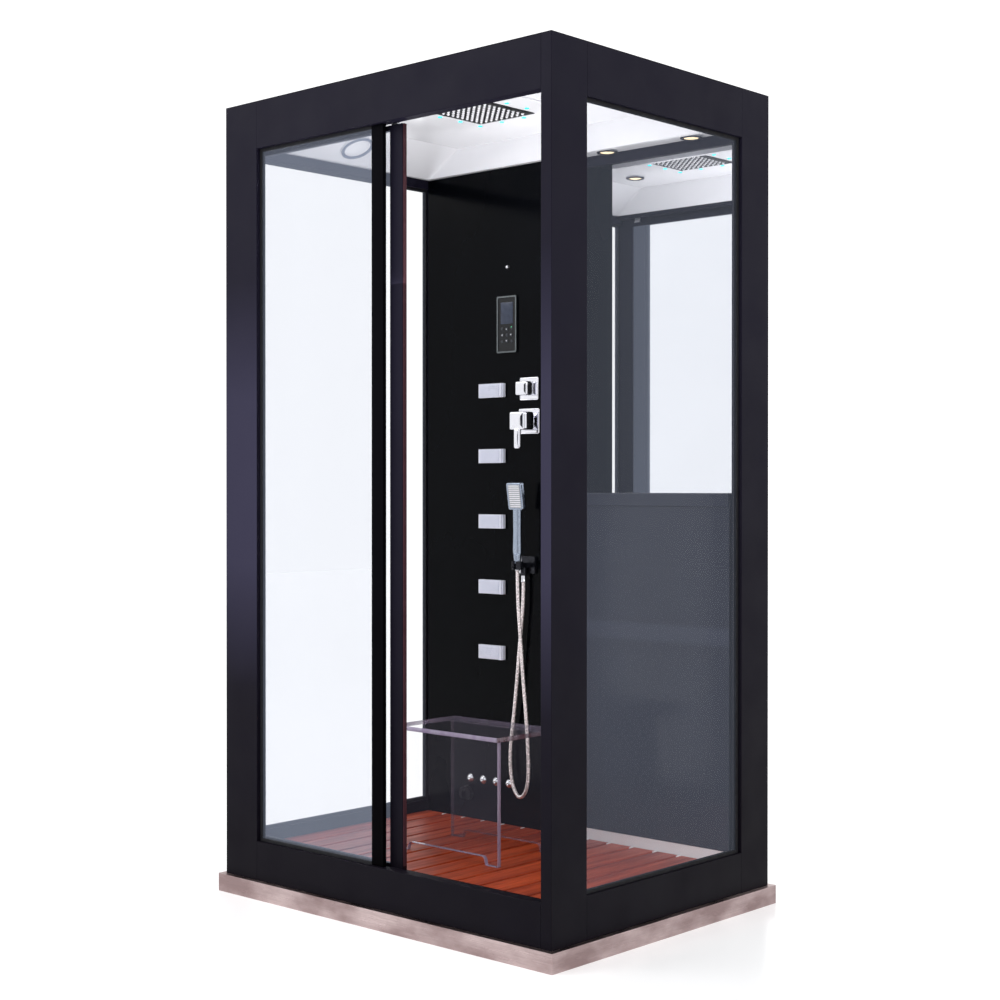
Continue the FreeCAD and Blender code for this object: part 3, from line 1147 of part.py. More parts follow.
# ---------------------------------------------------------------------------------------------
# Hose
# ---------------------------------------------------------------------------------------------
def hose_path():
    """Route of the hose: straight runs joined by tangent arcs as large as the runs allow."""
    start = Vector(D.valve_x.number, GRIP_Y.number, D.nut_bottom.number)
    end = Vector((D.valve_x - D.outlet_left).number, (COLUMN_FACE - D.outlet_out).number,
                 D.outlet_bottom.number)
    grip = Vector(D.valve_x.number, COLUMN_FACE.number, 0)
    corners = [start] + [grip + Vector(*point) for point in HOSE_CORNERS] + [end]
    edges, here, radii = [], corners[0], []
    for i in range(1, len(corners) - 1):
        before, corner, after = corners[i - 1], corners[i], corners[i + 1]
        arrive, leave = corner - before, after - corner
        half_turn = arrive.getAngle(leave) / 2
        reach = HOSE_REACH * min(arrive.Length, leave.Length)
        radii.append(reach / math.tan(half_turn))
        arrive.normalize()
        leave.normalize()
        first, last = corner - arrive * reach, corner + leave * reach
        inward = (leave - arrive).normalize()
        middle = corner + inward * (radii[-1] / math.cos(half_turn) - radii[-1])
        edges.append(Part.LineSegment(here, first).toShape())
        edges.append(Part.Arc(first, middle, last).toShape())
        here = last
    edges.append(Part.LineSegment(here, corners[-1]).toShape())
    return Part.Wire(edges), radii


def make_hose():
    """Shower hose: one tube along its route."""
    path, radii = hose_path()
    start = path.Edges[0]
    section = Part.Wire(Part.makeCircle(D.hose_radius.number, start.firstVertex().Point,
                                        start.tangentAt(start.FirstParameter)))
    tube = path.makePipeShell([section], True, False, 0)
    area = math.pi * D.hose_radius.number ** 2
    print("hose length %.0f mm, radii from %.0f mm: %s" %
          (path.Length, min(radii), " ".join("%.0f" % radius for radius in radii)))
    print("hose volume %.0f against section x length %.0f" % (tube.Volume, area * path.Length))
    keep("shower_hose", solid("hose_tube", tube))


# ---------------------------------------------------------------------------------------------
# Low jets, steam outlet, stool, equipment
# ---------------------------------------------------------------------------------------------
def make_low_outlets():
    """Four domed foot jets in a row, and the hooded steam outlet below them."""
    domes = []
    for i in range(int(D.dome_count.number)):
        x = D.dome_x + D.dome_pitch * i
        base = rod("dome_%d_base" % i, TURN_TO_FRONT, x, COLUMN_FACE, D.dome_z, D.dome_radius, D.dome_rim)
        cap = cone("dome_%d_cap" % i, TURN_TO_FRONT, x, COLUMN_FACE - D.dome_rim, D.dome_z,
                   D.dome_shoulder, D.dome_tip, D.dome_depth - D.dome_rim)
        domes += [base, cap]
    keep("floor_jets", join("domes", *domes))
    nozzle = rod("steam_nozzle", TURN_TO_FRONT, D.steam_x, COLUMN_FACE, D.steam_z, D.steam_radius,
                 D.steam_depth)
    bore = rod("steam_hole", TURN_TO_FRONT, D.steam_x, COLUMN_FACE - D.steam_floor, D.steam_z,
               D.steam_bore, D.steam_depth)
    mouth_low = D.steam_z - D.steam_radius - CUTTER_PAST
    mouth = block("steam_mouth", D.steam_x - D.steam_bore, COLUMN_FACE - D.steam_depth - CUTTER_PAST,
                  mouth_low, D.steam_bore * 2, D.steam_depth - D.steam_ring + CUTTER_PAST,
                  D.steam_z - mouth_low)
    keep("steam_outlet", cut("steam", nozzle, bore, mouth))


def make_stool():
    """Clear stool: a seat on two leg panels that stand on small feet."""
    seat_low = DECK_TOP + D.stool_height - D.stool_sheet
    seat = soft_block("seat", D.stool_left, D.stool_front, seat_low, D.stool_width, D.stool_depth,
                      D.stool_sheet, D.plate_round, Vector(0, 0, 1))
    left, length = D.stool_left + D.stool_side_inset, D.stool_width - D.stool_side_inset * 2
    panels = []
    for i, y in enumerate((D.stool_front + D.stool_inset,
                           D.stool_front + D.stool_depth - D.stool_inset - D.stool_sheet)):
        leg = block("leg_%d" % i, left, y, DECK_TOP, length, D.stool_sheet, seat_low - DECK_TOP)
        arch = block("leg_arch_%d" % i, left + D.stool_foot, y - CUTTER_PAST, DECK_TOP - CUTTER_PAST,
                     length - D.stool_foot * 2, D.stool_sheet + CUTTER_PAST * 2,
                     D.stool_arch + CUTTER_PAST)
        panels.append(cut("leg_panel_%d" % i, leg, arch))
    keep("stool", join("stool_sheets", seat, *panels))


def make_equipment():
    """Steam generator behind the column with its pipe, and the two water inlets on the back."""
    back, front = EQUIPMENT_BACK, EQUIPMENT_BACK - D.boiler_depth
    case = soft_block("boiler_case", D.boiler_left, front, D.boiler_level, D.boiler_width,
                      D.boiler_depth, D.boiler_height, D.plate_round * 2, Vector(0, 1, 0))
    pipe_y = front + D.steam_pipe_inset
    pipe = rod("boiler_pipe", None, D.steam_x, pipe_y, D.steam_z, D.steam_pipe_radius,
               D.boiler_level - D.steam_z + CUTTER_PAST)
    knee = rod("boiler_knee", TURN_TO_FRONT, D.steam_x, pipe_y, D.steam_z, D.steam_pipe_radius,
               pipe_y - COLUMN_FACE - D.wall_sheet)
    start = back - CUTTER_PAST * 2
    gland = rod("gland", TURN_TO_Y, GLAND_X, start, GLAND_LEVEL, D.gland_radius,
                REAR_SHEET_BACK + D.gland_length - start)
    gland_hole = rod("gland_hole", TURN_TO_Y, GLAND_X, REAR_SHEET_BACK - CUTTER_PAST * 2, GLAND_LEVEL,
                     D.gland_bore, D.gland_length + CUTTER_PAST * 4)
    keep("steam_generator", cut("boiler", join("boiler_mass", case, pipe, knee, gland), gland_hole))
    blocks = []
    for i, x in enumerate(INLET_PLACES):
        blocks.append(rod("inlet_%d" % i, TURN_TO_Y, x, start, D.inlet_z, D.inlet_radius,
                          REAR_SHEET_BACK + D.inlet_length - start))
        blocks.append(block("inlet_block_%d" % i, x - D.inlet_block / 2, back - D.inlet_block,
                            D.inlet_z - D.inlet_block / 2, D.inlet_block, D.inlet_block, D.inlet_block))
        blocks.append(rod("supply_pipe_%d" % i, None, x, back - D.inlet_block / 2, D.inlet_z,
                          D.supply_pipe_radius, D.supply_pipe_length))
    keep("water_inlets", join("inlets", *blocks))


def check_document():
    """Stop at any failed object, and at any piece without a valid shape."""
    for item in DOCUMENT.Objects:
        if "Invalid" in item.State or "Error" in item.State:
            raise RuntimeError("%s did not compute: %s" % (item.Name, item.State))
    for label, item in NODES.items():
        if item.Shape.isNull() or not item.Shape.isValid() or not item.Shape.Solids:
            raise RuntimeError("%s has no valid solid" % label)


def main():
    """Build every piece, check the document and write one STEP file for each piece."""
    for make in (make_plinth, make_feet, make_tray, make_waste, make_deck, make_posts, make_beams,
                 make_back, make_glass, make_tracks, make_door, make_rollers, make_back_wall,
                 make_roof_pan, make_roof_fittings, make_jets, make_control_panel, make_diverter,
                 make_mixer, make_bracket, make_handset, make_hose, make_low_outlets, make_stool,
                 make_equipment):
        make()
    DOCUMENT.recompute()
    check_document()
    os.makedirs("parts", exist_ok=True)
    for label, item in NODES.items():
        item.Shape.exportStep("parts/%s.step" % label)
    print("%d pieces" % len(NODES))


main()
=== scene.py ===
"""Steam shower cabin: finishes, fine parts, hose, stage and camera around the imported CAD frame.

Metres, +Z up, the origin in the middle of the footprint at floor level, as in the CAD.
"""
import math

import bpy
import numpy as np
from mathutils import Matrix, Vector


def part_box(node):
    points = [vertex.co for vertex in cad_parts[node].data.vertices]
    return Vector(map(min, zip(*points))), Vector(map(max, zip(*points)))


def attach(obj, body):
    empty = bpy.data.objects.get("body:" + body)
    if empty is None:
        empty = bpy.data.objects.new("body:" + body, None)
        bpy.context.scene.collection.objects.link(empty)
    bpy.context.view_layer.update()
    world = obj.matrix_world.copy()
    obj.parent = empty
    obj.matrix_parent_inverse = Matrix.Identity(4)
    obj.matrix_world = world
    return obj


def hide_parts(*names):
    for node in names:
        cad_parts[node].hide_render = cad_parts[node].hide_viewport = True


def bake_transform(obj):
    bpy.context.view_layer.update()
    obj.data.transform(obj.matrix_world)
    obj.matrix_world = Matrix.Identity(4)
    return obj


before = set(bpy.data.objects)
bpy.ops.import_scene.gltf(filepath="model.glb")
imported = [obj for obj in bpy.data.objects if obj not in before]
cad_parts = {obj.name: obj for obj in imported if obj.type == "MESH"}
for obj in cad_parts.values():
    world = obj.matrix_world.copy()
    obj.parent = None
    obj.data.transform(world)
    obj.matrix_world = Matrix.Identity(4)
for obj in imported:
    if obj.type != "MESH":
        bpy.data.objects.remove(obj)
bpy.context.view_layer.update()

bl_info = {
    "name": "Steam Shower Cabin",
    "version": (1, 0, 0),
    "blender": (4, 5, 0),
    "location": "3D View > Sidebar > Cabin",
    "description": "Dresses the packed steam shower cabin with its finishes, fine parts and stage",
    "category": "Object",
}

CAD_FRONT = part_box("post_front_left")[0].y
LEAST_CORNER = 0.0002           # what an inset leaves of a round corner
PAINTED_SHEEN_LEVEL = 1.12              # height of the middle of the front posts' painted sheen
LOWER_STRIPE = (0.714, 0.046)   # level and height of the lighter stripe on the lower panel
LIGHT_STRENGTH = 0.9            # glow of the ceiling's lights


# ---- Settings ----
def linear(red, green, blue):
    """A colour in screen values from 0 to 255 as linear values."""
    screen = np.array((red, green, blue)) / 255
    curve = ((screen + 0.055) / 1.055) ** 2.4
    return tuple(float(v) for v in np.where(screen <= 0.04045, screen / 12.92, curve))


def shade(colour, *factors):
    """A colour times one factor, or times one for each channel, up to full."""
    return tuple(min(c * f, 1.0) for c, f in zip(colour[:3], factors * 3))


def colour_setting(name, description, red, green, blue):
    """A colour property with its default given in screen values."""
    return bpy.props.FloatVectorProperty(name=name, description=description, subtype="COLOR",
                                         size=3, min=0.0, max=1.0,
                                         default=linear(red, green, blue))


def length_setting(name, description, metres):
    """A length property."""
    return bpy.props.FloatProperty(name=name, description=description, default=metres, min=0.0,
                                   unit="LENGTH", precision=4)


class CabinColours(bpy.types.PropertyGroup):
    """Colours of the cabin's finishes."""
    frame_paint: colour_setting("Frame paint", "Powder coat of posts, beams and sills", 25, 23, 36)
    plinth_steel: colour_setting("Plinth steel", "Brushed skirt under the frame", 176, 158, 157)
    deck_wood: colour_setting("Deck wood", "Oiled slats of the duckboard", 178, 72, 38)
    column_gloss: colour_setting("Column", "Glossy near-black column", 4, 5, 8)
    lower_gloss: colour_setting("Lower panel", "Glossy grey panel below the ledge", 44, 46, 56)
    acrylic_white: colour_setting("White acrylic", "Moulded tray and roof", 236, 236, 240)
    # the colour of the panes' painted reflection veil
    glass_tint: colour_setting("Glass", "Faint veil of the panes", 172, 182, 204)
    chrome: colour_setting("Chrome", "Polished fittings", 232, 232, 238)
    hose_metal: colour_setting("Hose", "Wound metal shower hose", 240, 230, 230)
    light_cyan: colour_setting("Ceiling lights", "Small lights round the spray plate", 60, 214, 228)
    light_warm: colour_setting("Downlights", "Lenses of the downlights", 255, 232, 190)
    seal_red: colour_setting("Door seal", "Strip on the leading edge of the door", 62, 30, 38)
    # the stool edges' colour is a painted glint along the polished acrylic
    stool_edge: colour_setting("Stool edges", "Polished edges of the clear stool", 168, 150, 180)


class CabinSizes(bpy.types.PropertyGroup):
    """Sizes of the fine parts."""
    hose_diameter: length_setting("Hose diameter", "Outside diameter of the shower hose", 0.011)
    hose_rib_pitch: length_setting("Hose rib pitch", "Advance of the wound rib in a turn", 0.0024)
    nozzle_pitch: length_setting("Nozzle pitch", "Spray nozzles, middle to middle", 0.0188)
    nozzle_radius: length_setting("Nozzle radius", "Foot of a spray nozzle", 0.0045)
    screw_radius: length_setting("Screw head", "Heads of the cover screws, radius", 0.0045)
    slat_pitch: length_setting("Slat pitch", "Deck slats, middle to middle", 0.079)
    seal_width: length_setting("Door seal width", "Strip on the leading edge of the door", 0.012)
    lens_length: bpy.props.FloatProperty(name="Lens", default=61.24, min=10.0, max=300.0,
                                         description="Focal length of the camera in millimetres")


# ---- Surfaces ----
SIDES = {   # two directions across a face; their cross product points out of it
    "front": ((1, 0, 0), (0, 0, 1)),
    "back": ((-1, 0, 0), (0, 0, 1)),
    "right": ((0, 1, 0), (0, 0, 1)),
    "left": ((0, -1, 0), (0, 0, 1)),
    "up": ((1, 0, 0), (0, 1, 0)),
    "down": ((1, 0, 0), (0, -1, 0)),
}


class Shape:
    """Points, quads and triangles of a surface, as arrays."""

    def __init__(self, points, quads, tris=()):
        self.points = np.asarray(points, float).reshape(-1, 3)
        self.quads = np.asarray(quads, int).reshape(-1, 4)
        self.tris = np.asarray(tris, int).reshape(-1, 3)

    def __add__(self, other):
        shift = len(self.points)
        return Shape(np.vstack((self.points, other.points)),
                     np.vstack((self.quads, other.quads + shift)),
                     np.vstack((self.tris, other.tris + shift)))

    def at(self, places):
        """One copy of the surface at each of the places."""
        places = np.asarray(places, float).reshape(-1, 1, 3)
        shift = (np.arange(len(places)) * len(self.points)).reshape(-1, 1, 1)
        return Shape(self.points + places, self.quads + shift, self.tris + shift)


def directions(side):
    """The three directions of a face: across, up and out."""
    across, up = (np.array(v, float) for v in (SIDES[side] if isinstance(side, str) else side))
    return across, up, np.cross(across, up)


def skin(rings, closed=False):
    """Faces over a grid whose rows are rings: each point makes a quad with its neighbour in the row
    and the same two of the next row. Open ends get a fan to their middle; a closed grid joins its
    last row to its first."""
    rows, around = rings.shape[:2]
    index = np.arange(rows * around).reshape(rows, around)
    joined = np.vstack((index, index[:1])) if closed else index
    low, high = joined[:-1], joined[1:]
    quads = np.stack((low, np.roll(low, -1, 1), np.roll(high, -1, 1), high), -1)
    points = rings.reshape(-1, 3)
    if closed:
        return Shape(points, quads)
    middles = np.stack((rings[0].mean(0), rings[-1].mean(0)))
    hub = np.full(around, rows * around)
    foot = np.stack((hub, np.roll(index[0], -1), index[0]), -1)
    head = np.stack((hub + 1, index[-1], np.roll(index[-1], -1)), -1)
    return Shape(np.vstack((points, middles)), quads, np.vstack((foot, head)))


def unit(vectors):
    """The vectors at length one."""
    return vectors / np.linalg.norm(vectors, axis=1, keepdims=True)


def angles(count):
    """So many even steps round a full turn."""
    return np.linspace(0, 2 * math.pi, count, endpoint=False)


def stacked(x, y, rise, centre, side):
    """Rows of points, x across and y up a face from its centre, each row at its rise out of it."""
    across, up, out = directions(side)
    return (np.asarray(centre, float) + x[..., None] * across + y[..., None] * up
            + rise[:, None, None] * out)


def slab(steps, width, height, corner, centre, side="front", count=5, closed=False):
    """A rectangle with round corners carried outwards: at each step (rise, inset) it stands that
    rise in front of its centre and is drawn in by that inset on all sides."""
    steps = np.asarray(steps, float)
    turn = (np.linspace(0, math.pi / 2, count) + math.pi / 2 * np.arange(4)[:, None]).ravel()
    quadrant = np.repeat(np.array([[1, 1], [-1, 1], [-1, -1], [1, -1]]), count, axis=0)
    inset = steps[:, 1, None]
    radius = np.maximum(corner - inset, LEAST_CORNER)
    x = quadrant[:, 0] * (width / 2 - inset - radius) + radius * np.cos(turn)
    y = quadrant[:, 1] * (height / 2 - inset - radius) + radius * np.sin(turn)
    return skin(stacked(x, y, steps[:, 0], centre, side), closed)


def turned(steps, centre, side="front", around=32, flutes=0, depth=0.0, closed=False):
    """A profile of (rise, radius) turned round the line out of a face. Flutes press a cosine wave
    of the given depth into it, so many times round."""
    steps = np.asarray(steps, float)
    angle = angles(around)
    radius = steps[:, 1, None] - depth * (0.5 + 0.5 * np.cos(flutes * angle))
    return skin(stacked(radius * np.cos(angle), radius * np.sin(angle), steps[:, 0], centre, side),
                closed)


def tube(path, radius, around, sideways):
    """A circle carried along a path of points, its radius given for each point and angle. The
    circle's first direction is square to the path and to a fixed sideways direction."""
    tangent = unit(np.gradient(path, axis=0))
    first = unit(np.cross(np.asarray(sideways, float), tangent))
    second = np.cross(tangent, first)
    angle = angles(around)
    ring = np.cos(angle)[:, None] * first[:, None] + np.sin(angle)[:, None] * second[:, None]
    return skin(path[:, None] + radius[..., None] * ring)


def outline(corners, radii, count=4):
    """A closed line through corners, listed anticlockwise, with an arc of `count` points in each:
    the arc's points lie on a quadratic curve between the two places where it leaves the sides."""
    corners = np.asarray(corners, float)
    radii = np.asarray(radii, float).reshape(-1, 1)
    before, after = (unit(np.roll(corners, shift, 0) - corners) for shift in (1, -1))
    t = np.linspace(0, 1, count).reshape(1, -1, 1)
    first, last = (corners + before * radii)[:, None], (corners + after * radii)[:, None]
    middles = corners[:, None]
    return (first * (1 - t) ** 2 + middles * 2 * t * (1 - t) + last * t ** 2).reshape(-1, 2)


def edging(line, section, origin, side="front"):
    """A small closed section of (outward, rise) points carried round a closed line in a face."""
    section = np.asarray(section, float)
    along = unit(np.roll(line, -1, 0) - np.roll(line, 1, 0))
    outward = np.stack((along[:, 1], -along[:, 0]), 1)
    flat = line[None] + section[:, 0, None, None] * outward[None]
    return skin(stacked(flat[..., 0], flat[..., 1], section[:, 1], origin, side), closed=True)


def made(finish):
    """A finish, or the shared one of that name."""
    return finishes()[finish] if isinstance(finish, str) else finish


def add_piece(name, shape, finish, body, sharp=35):
    """Put a surface into the scene as a piece that rides on a body, if one is given."""
    mesh = bpy.data.meshes.new(name)
    mesh.from_pydata(shape.points.tolist(), [], shape.quads.tolist() + shape.tris.tolist())
    mesh.materials.append(made(finish))
    mesh.shade_smooth()
    mesh.set_sharp_from_angle(angle=math.radians(sharp))
    piece = bpy.data.objects.new(name, mesh)
    bpy.context.scene.collection.objects.link(piece)
    if body:
        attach(piece, body)
    return piece


def dress(finish, *nodes):
    """Give CAD nodes a finish."""
    material = made(finish)
    for node in nodes:
        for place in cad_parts[node].material_slots:
            place.material = material


def middle(node):
    """The middle of a CAD node."""
    low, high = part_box(node)
    return np.array(low + high) / 2


# ---- Finishes ----
def add_node(tree, kind, inputs=None, **settings):
    """A node with its settings and its inputs, each a value or another node's output."""
    item = tree.nodes.new(kind)
    for name, value in settings.items():
        setattr(item, name, value)
    for name, value in (inputs or {}).items():
        if isinstance(value, bpy.types.NodeSocket):
            tree.links.new(value, item.inputs[name])
        else:
            item.inputs[name].default_value = value
    return item


class Finish:
    """A node material: a Principled shader and the patterns in Object coordinates that feed it."""

    def __init__(self, name, colour, roughness, **sockets):
        self.material = bpy.data.materials.new(name)
        self.material.use_nodes = True
        self.tree = self.material.node_tree
        self.shader = self.tree.nodes["Principled BSDF"]
        self.place = self.node("ShaderNodeTexCoord").outputs["Object"]
        self.colour, self.roughness = tuple(colour[:3]), roughness
        self.shader.inputs["Base Color"].default_value = self.colour + (1.0,)
        self.shader.inputs["Roughness"].default_value = roughness
        for socket, value in sockets.items():
            self.shader.inputs[socket.replace("_", " ")].default_value = value

    def node(self, kind, inputs=None, **settings):
        """A node in this finish's tree."""
        return add_node(self.tree, kind, inputs, **settings)

    def noise(self, scale, stretch=(1, 1, 1), detail=3.0):
        """Noise with so many features a metre, stretched by the factors."""
        place = self.node("ShaderNodeMapping", {"Vector": self.place, "Scale": stretch})
        inputs = {"Vector": place.outputs["Vector"], "Scale": scale, "Detail": detail}
        return self.node("ShaderNodeTexNoise", inputs).outputs["Fac"]

    def axis(self, name):
        """One Object coordinate."""
        return self.node("ShaderNodeSeparateXYZ", {"Vector": self.place}).outputs[name]

    def maths(self, operation, first, second=0.0):
        """Two numbers joined by an operation."""
        return self.node("ShaderNodeMath", {0: first, 1: second}, operation=operation).outputs[0]

    def spread(self, value, low, high, start=0.3, end=0.7):
        """A value between start and end as one between low and high."""
        return self.node("ShaderNodeMapRange", {"Value": value, "From Min": start, "From Max": end,
                                                "To Min": low, "To Max": high}).outputs["Result"]

    def mix(self, factor, first, second):
        """Two colours mixed by a factor; each is three values or a node's output."""
        first, second = (c if isinstance(c, bpy.types.NodeSocket) else tuple(c[:3]) + (1.0,)
                         for c in (first, second))
        return self.node("ShaderNodeMix", {0: factor, 6: first, 7: second},
                         data_type="RGBA").outputs[2]

    def feed(self, socket, value):
        """Link a value to the shader."""
        self.tree.links.new(value, self.shader.inputs[socket])
        return self

    def mottle(self, amount, scale, stretch=(1, 1, 1)):
        """Vary the colour a little, lighter and darker."""
        dark, light = shade(self.colour, 1 - amount), shade(self.colour, 1 + amount)
        factor = self.spread(self.noise(scale, stretch), 0.0, 1.0)
        return self.feed("Base Color", self.mix(factor, dark, light))

    def smudge(self, amount, scale, stretch=(1, 1, 1)):
        """Vary the roughness a little."""
        low, high = max(self.roughness - amount, 0.0), min(self.roughness + amount, 1.0)
        return self.feed("Roughness", self.spread(self.noise(scale, stretch), low, high))

    def grain(self, height, strength, distance):
        """A relief in the surface."""
        inputs = {"Height": height, "Strength": strength, "Distance": distance}
        return self.feed("Normal", self.node("ShaderNodeBump", inputs).outputs["Normal"])


def powder_coat(name, colour, roughness=0.5, glow=0.0, gloss=0.06):
    """Satin powder coat: fine orange peel and faint clouds, with painted shade darker towards the
    floor; a glow gives its front faces a soft broad painted sheen half way up."""
    finish = Finish(name, colour, roughness, Specular_IOR_Level=gloss)
    level = finish.axis("Z")
    clouds = finish.spread(finish.noise(5.0), -0.1, 0.1)
    # painted shade: the colour darkens towards the floor, as if less light fell low down
    height = finish.maths("ADD", finish.spread(level, 0.0, 1.0, 0.15, 1.5), clouds)
    body = finish.mix(height, shade(colour, 0.42, 0.36, 0.34), colour)
    # painted sheen: a lighter band half way up the front faces, a painted highlight
    if glow:
        off = finish.maths("ABSOLUTE", finish.maths("SUBTRACT", level, PAINTED_SHEEN_LEVEL))
        front = finish.spread(finish.axis("Y"), glow, 0.0, CAD_FRONT + 0.0002, CAD_FRONT + 0.0006)
        painted_sheen = finish.maths("MULTIPLY", finish.spread(off, 1.0, 0.0, 0.22, 0.55), front)
        body = finish.mix(painted_sheen, body, linear(62, 60, 82))
    finish.feed("Base Color", body).smudge(0.06, 9.0)
    return finish.grain(finish.noise(520.0, detail=2.0), 0.12, 0.0004).material


def brushed_metal(name, colour, roughness=0.32):
    """Sheet steel brushed level: long fine streaks over broad warm and cool clouds."""
    finish = Finish(name, colour, roughness, Metallic=1.0, Anisotropic=0.35)
    streaks = finish.noise(14.0, (1, 1, 60), 5.0)
    clouds = finish.spread(finish.noise(7.0, (1, 1, 2.2), 4.0), 0.0, 1.0, 0.36, 0.64)
    body = finish.mix(clouds, shade(colour, 0.62, 0.55, 0.55), shade(colour, 1.22))
    body = finish.mix(finish.spread(streaks, 0.0, 0.30), body, shade(colour, 0.55))
    finish.feed("Base Color", body)
    finish.feed("Roughness", finish.spread(streaks, roughness - 0.08, roughness + 0.14))
    return finish.grain(streaks, 0.10, 0.0006).material


def clouded(name, colour, roughness, mottle, smudge, relief, **sockets):
    """A finish whose colour, roughness and relief follow noise: mottle and smudge are an amount
    and a scale, relief is a scale, a detail, a strength and a distance."""
    finish = Finish(name, colour, roughness, **sockets)
    finish.mottle(*mottle).smudge(*smudge)
    scale, detail, strength, distance = relief
    return finish.grain(finish.noise(scale, detail=detail), strength, distance).material


def polished_metal(name, colour, roughness=0.07):
    """Polished plating with faint wipe marks."""
    return clouded(name, colour, roughness, (0.03, 40.0), (0.03, 60.0), (160.0, 1.0, 0.02, 0.0003),
                   Metallic=1.0)


def cast_metal(name, colour, roughness=0.4):
    """Dull plated or raw metal with a fine grain."""
    return clouded(name, colour, roughness, (0.12, 60.0), (0.08, 90.0), (700.0, 3.0, 0.10, 0.0003),
                   Metallic=1.0)


def moulded_plastic(name, colour, roughness=0.35, gloss=0.4):
    """Moulded plastic with a fine skin and a hint of unevenness."""
    return clouded(name, colour, roughness, (0.03, 14.0), (0.05, 20.0), (240.0, 2.0, 0.05, 0.0003),
                   Specular_IOR_Level=gloss)


def rubber(name, colour):
    """Matt rubber with a dusty grain."""
    return clouded(name, colour, 0.7, (0.15, 60.0), (0.08, 40.0), (900.0, 3.0, 0.15, 0.0002),
                   Specular_IOR_Level=0.25)


def white_acrylic(name, colour):
    """Thermoformed acrylic: glossy white with shallow waves from the mould."""
    return clouded(name, colour, 0.16, (0.015, 4.0), (0.05, 6.0), (9.0, 1.0, 0.05, 0.004),
                   Specular_IOR_Level=0.45, Coat_Weight=0.2, Coat_Roughness=0.05)


def gloss_panel(name, colour, gloss, band=None):
    """Glossy dark panel with faint wipe marks; a band (level, height) is a lighter stripe."""
    finish = Finish(name, colour, 0.12, Specular_IOR_Level=gloss)
    finish.smudge(0.05, 5.0, (1, 1, 0.3))
    light = tuple(min(c * 1.35 + 0.0008, 1.0) for c in colour)
    clouds = finish.spread(finish.noise(2.6, (1, 1, 0.5), 4.0), 0.0, 0.7, 0.35, 0.75)
    body = finish.mix(clouds, colour, light)
    if band:
        level, height = band
        off = finish.maths("ABSOLUTE", finish.maths("SUBTRACT", finish.axis("Z"), level))
        inside = finish.spread(off, 0.55, 0.0, height / 2 - 0.006, height / 2 + 0.006)
        body = finish.mix(inside, body, shade(colour, 1.9))
    return finish.feed("Base Color", body).material


def oiled_wood(name, colour, pitch):
    """Reddish hardwood: long grain along the slats, pores, and another tone for each slat."""
    finish = Finish(name, colour, 0.42, Specular_IOR_Level=0.22)
    x, y, z = (finish.axis(letter) for letter in "XYZ")
    slat = {"W": finish.maths("FLOOR", finish.maths("DIVIDE", x, pitch))}
    tone = finish.node("ShaderNodeTexWhiteNoise", slat, noise_dimensions="1D").outputs["Value"]
    along = finish.maths("ADD", y, finish.maths("MULTIPLY", tone, 9.0))
    place = finish.node("ShaderNodeCombineXYZ", {"X": x, "Y": along, "Z": z})
    finish.place = place.outputs["Vector"]
    grain = finish.noise(46.0, (1, 0.07, 1), 6.0)
    pores = finish.noise(420.0, (1, 0.05, 1), 2.0)
    broad = finish.noise(9.0, (1, 0.25, 1), 3.0)
    dark = finish.mix(tone, shade(colour, 0.42, 0.36, 0.42), shade(colour, 0.62, 0.55, 0.6))
    light = finish.mix(tone, shade(colour, 0.95, 0.95, 0.9), shade(colour, 1.3, 1.35, 1.2))
    body = finish.mix(finish.spread(grain, 0.0, 1.0, 0.36, 0.62), dark, light)
    body = finish.mix(finish.spread(broad, 0.0, 0.4), body, shade(colour, 0.75, 0.6, 0.65))
    body = finish.mix(finish.spread(pores, 0.5, 0.0, 0.36, 0.46), body,
                      shade(colour, 0.22, 0.18, 0.2))
    finish.feed("Base Color", body)
    finish.feed("Roughness", finish.spread(grain, 0.5, 0.36))
    return finish.grain(finish.maths("ADD", grain, pores), 0.25, 0.0008).material


def clear_sheet(name, colour, alpha, veil):
    """Clear glass or acrylic: mostly see-through, a little dim, with an even veil of painted
    reflected daylight, made to glow.
    """
    # the veil is emission, a painted reflection of the bright surroundings
    finish = Finish(name, linear(12, 13, 15), 0.03, Alpha=alpha, Specular_IOR_Level=0.15,
                    Emission_Strength=veil / alpha)
    clouds = finish.spread(finish.noise(2.0, (1, 1, 0.4)), 0.0, 1.0)
    finish.feed("Emission Color", finish.mix(clouds, shade(colour, 0.9), colour))
    return finish.smudge(0.02, 3.0, (1, 1, 0.4)).material


def silvered(name):
    """Mirror glass."""
    finish = Finish(name, (0.95, 0.96, 0.98), 0.01, Metallic=1.0)
    finish.feed("Roughness", finish.spread(finish.noise(3.0), 0.0, 0.02))
    return finish.mottle(0.01, 5.0).material


def glowing(name, colour, strength):
    """A lit lens: a coloured body that shines, brighter in patches."""
    finish = Finish(name, colour, 0.25, Emission_Color=tuple(colour) + (1.0,),
                    Emission_Strength=strength)
    return finish.mottle(0.08, 300.0).smudge(0.05, 200.0).material


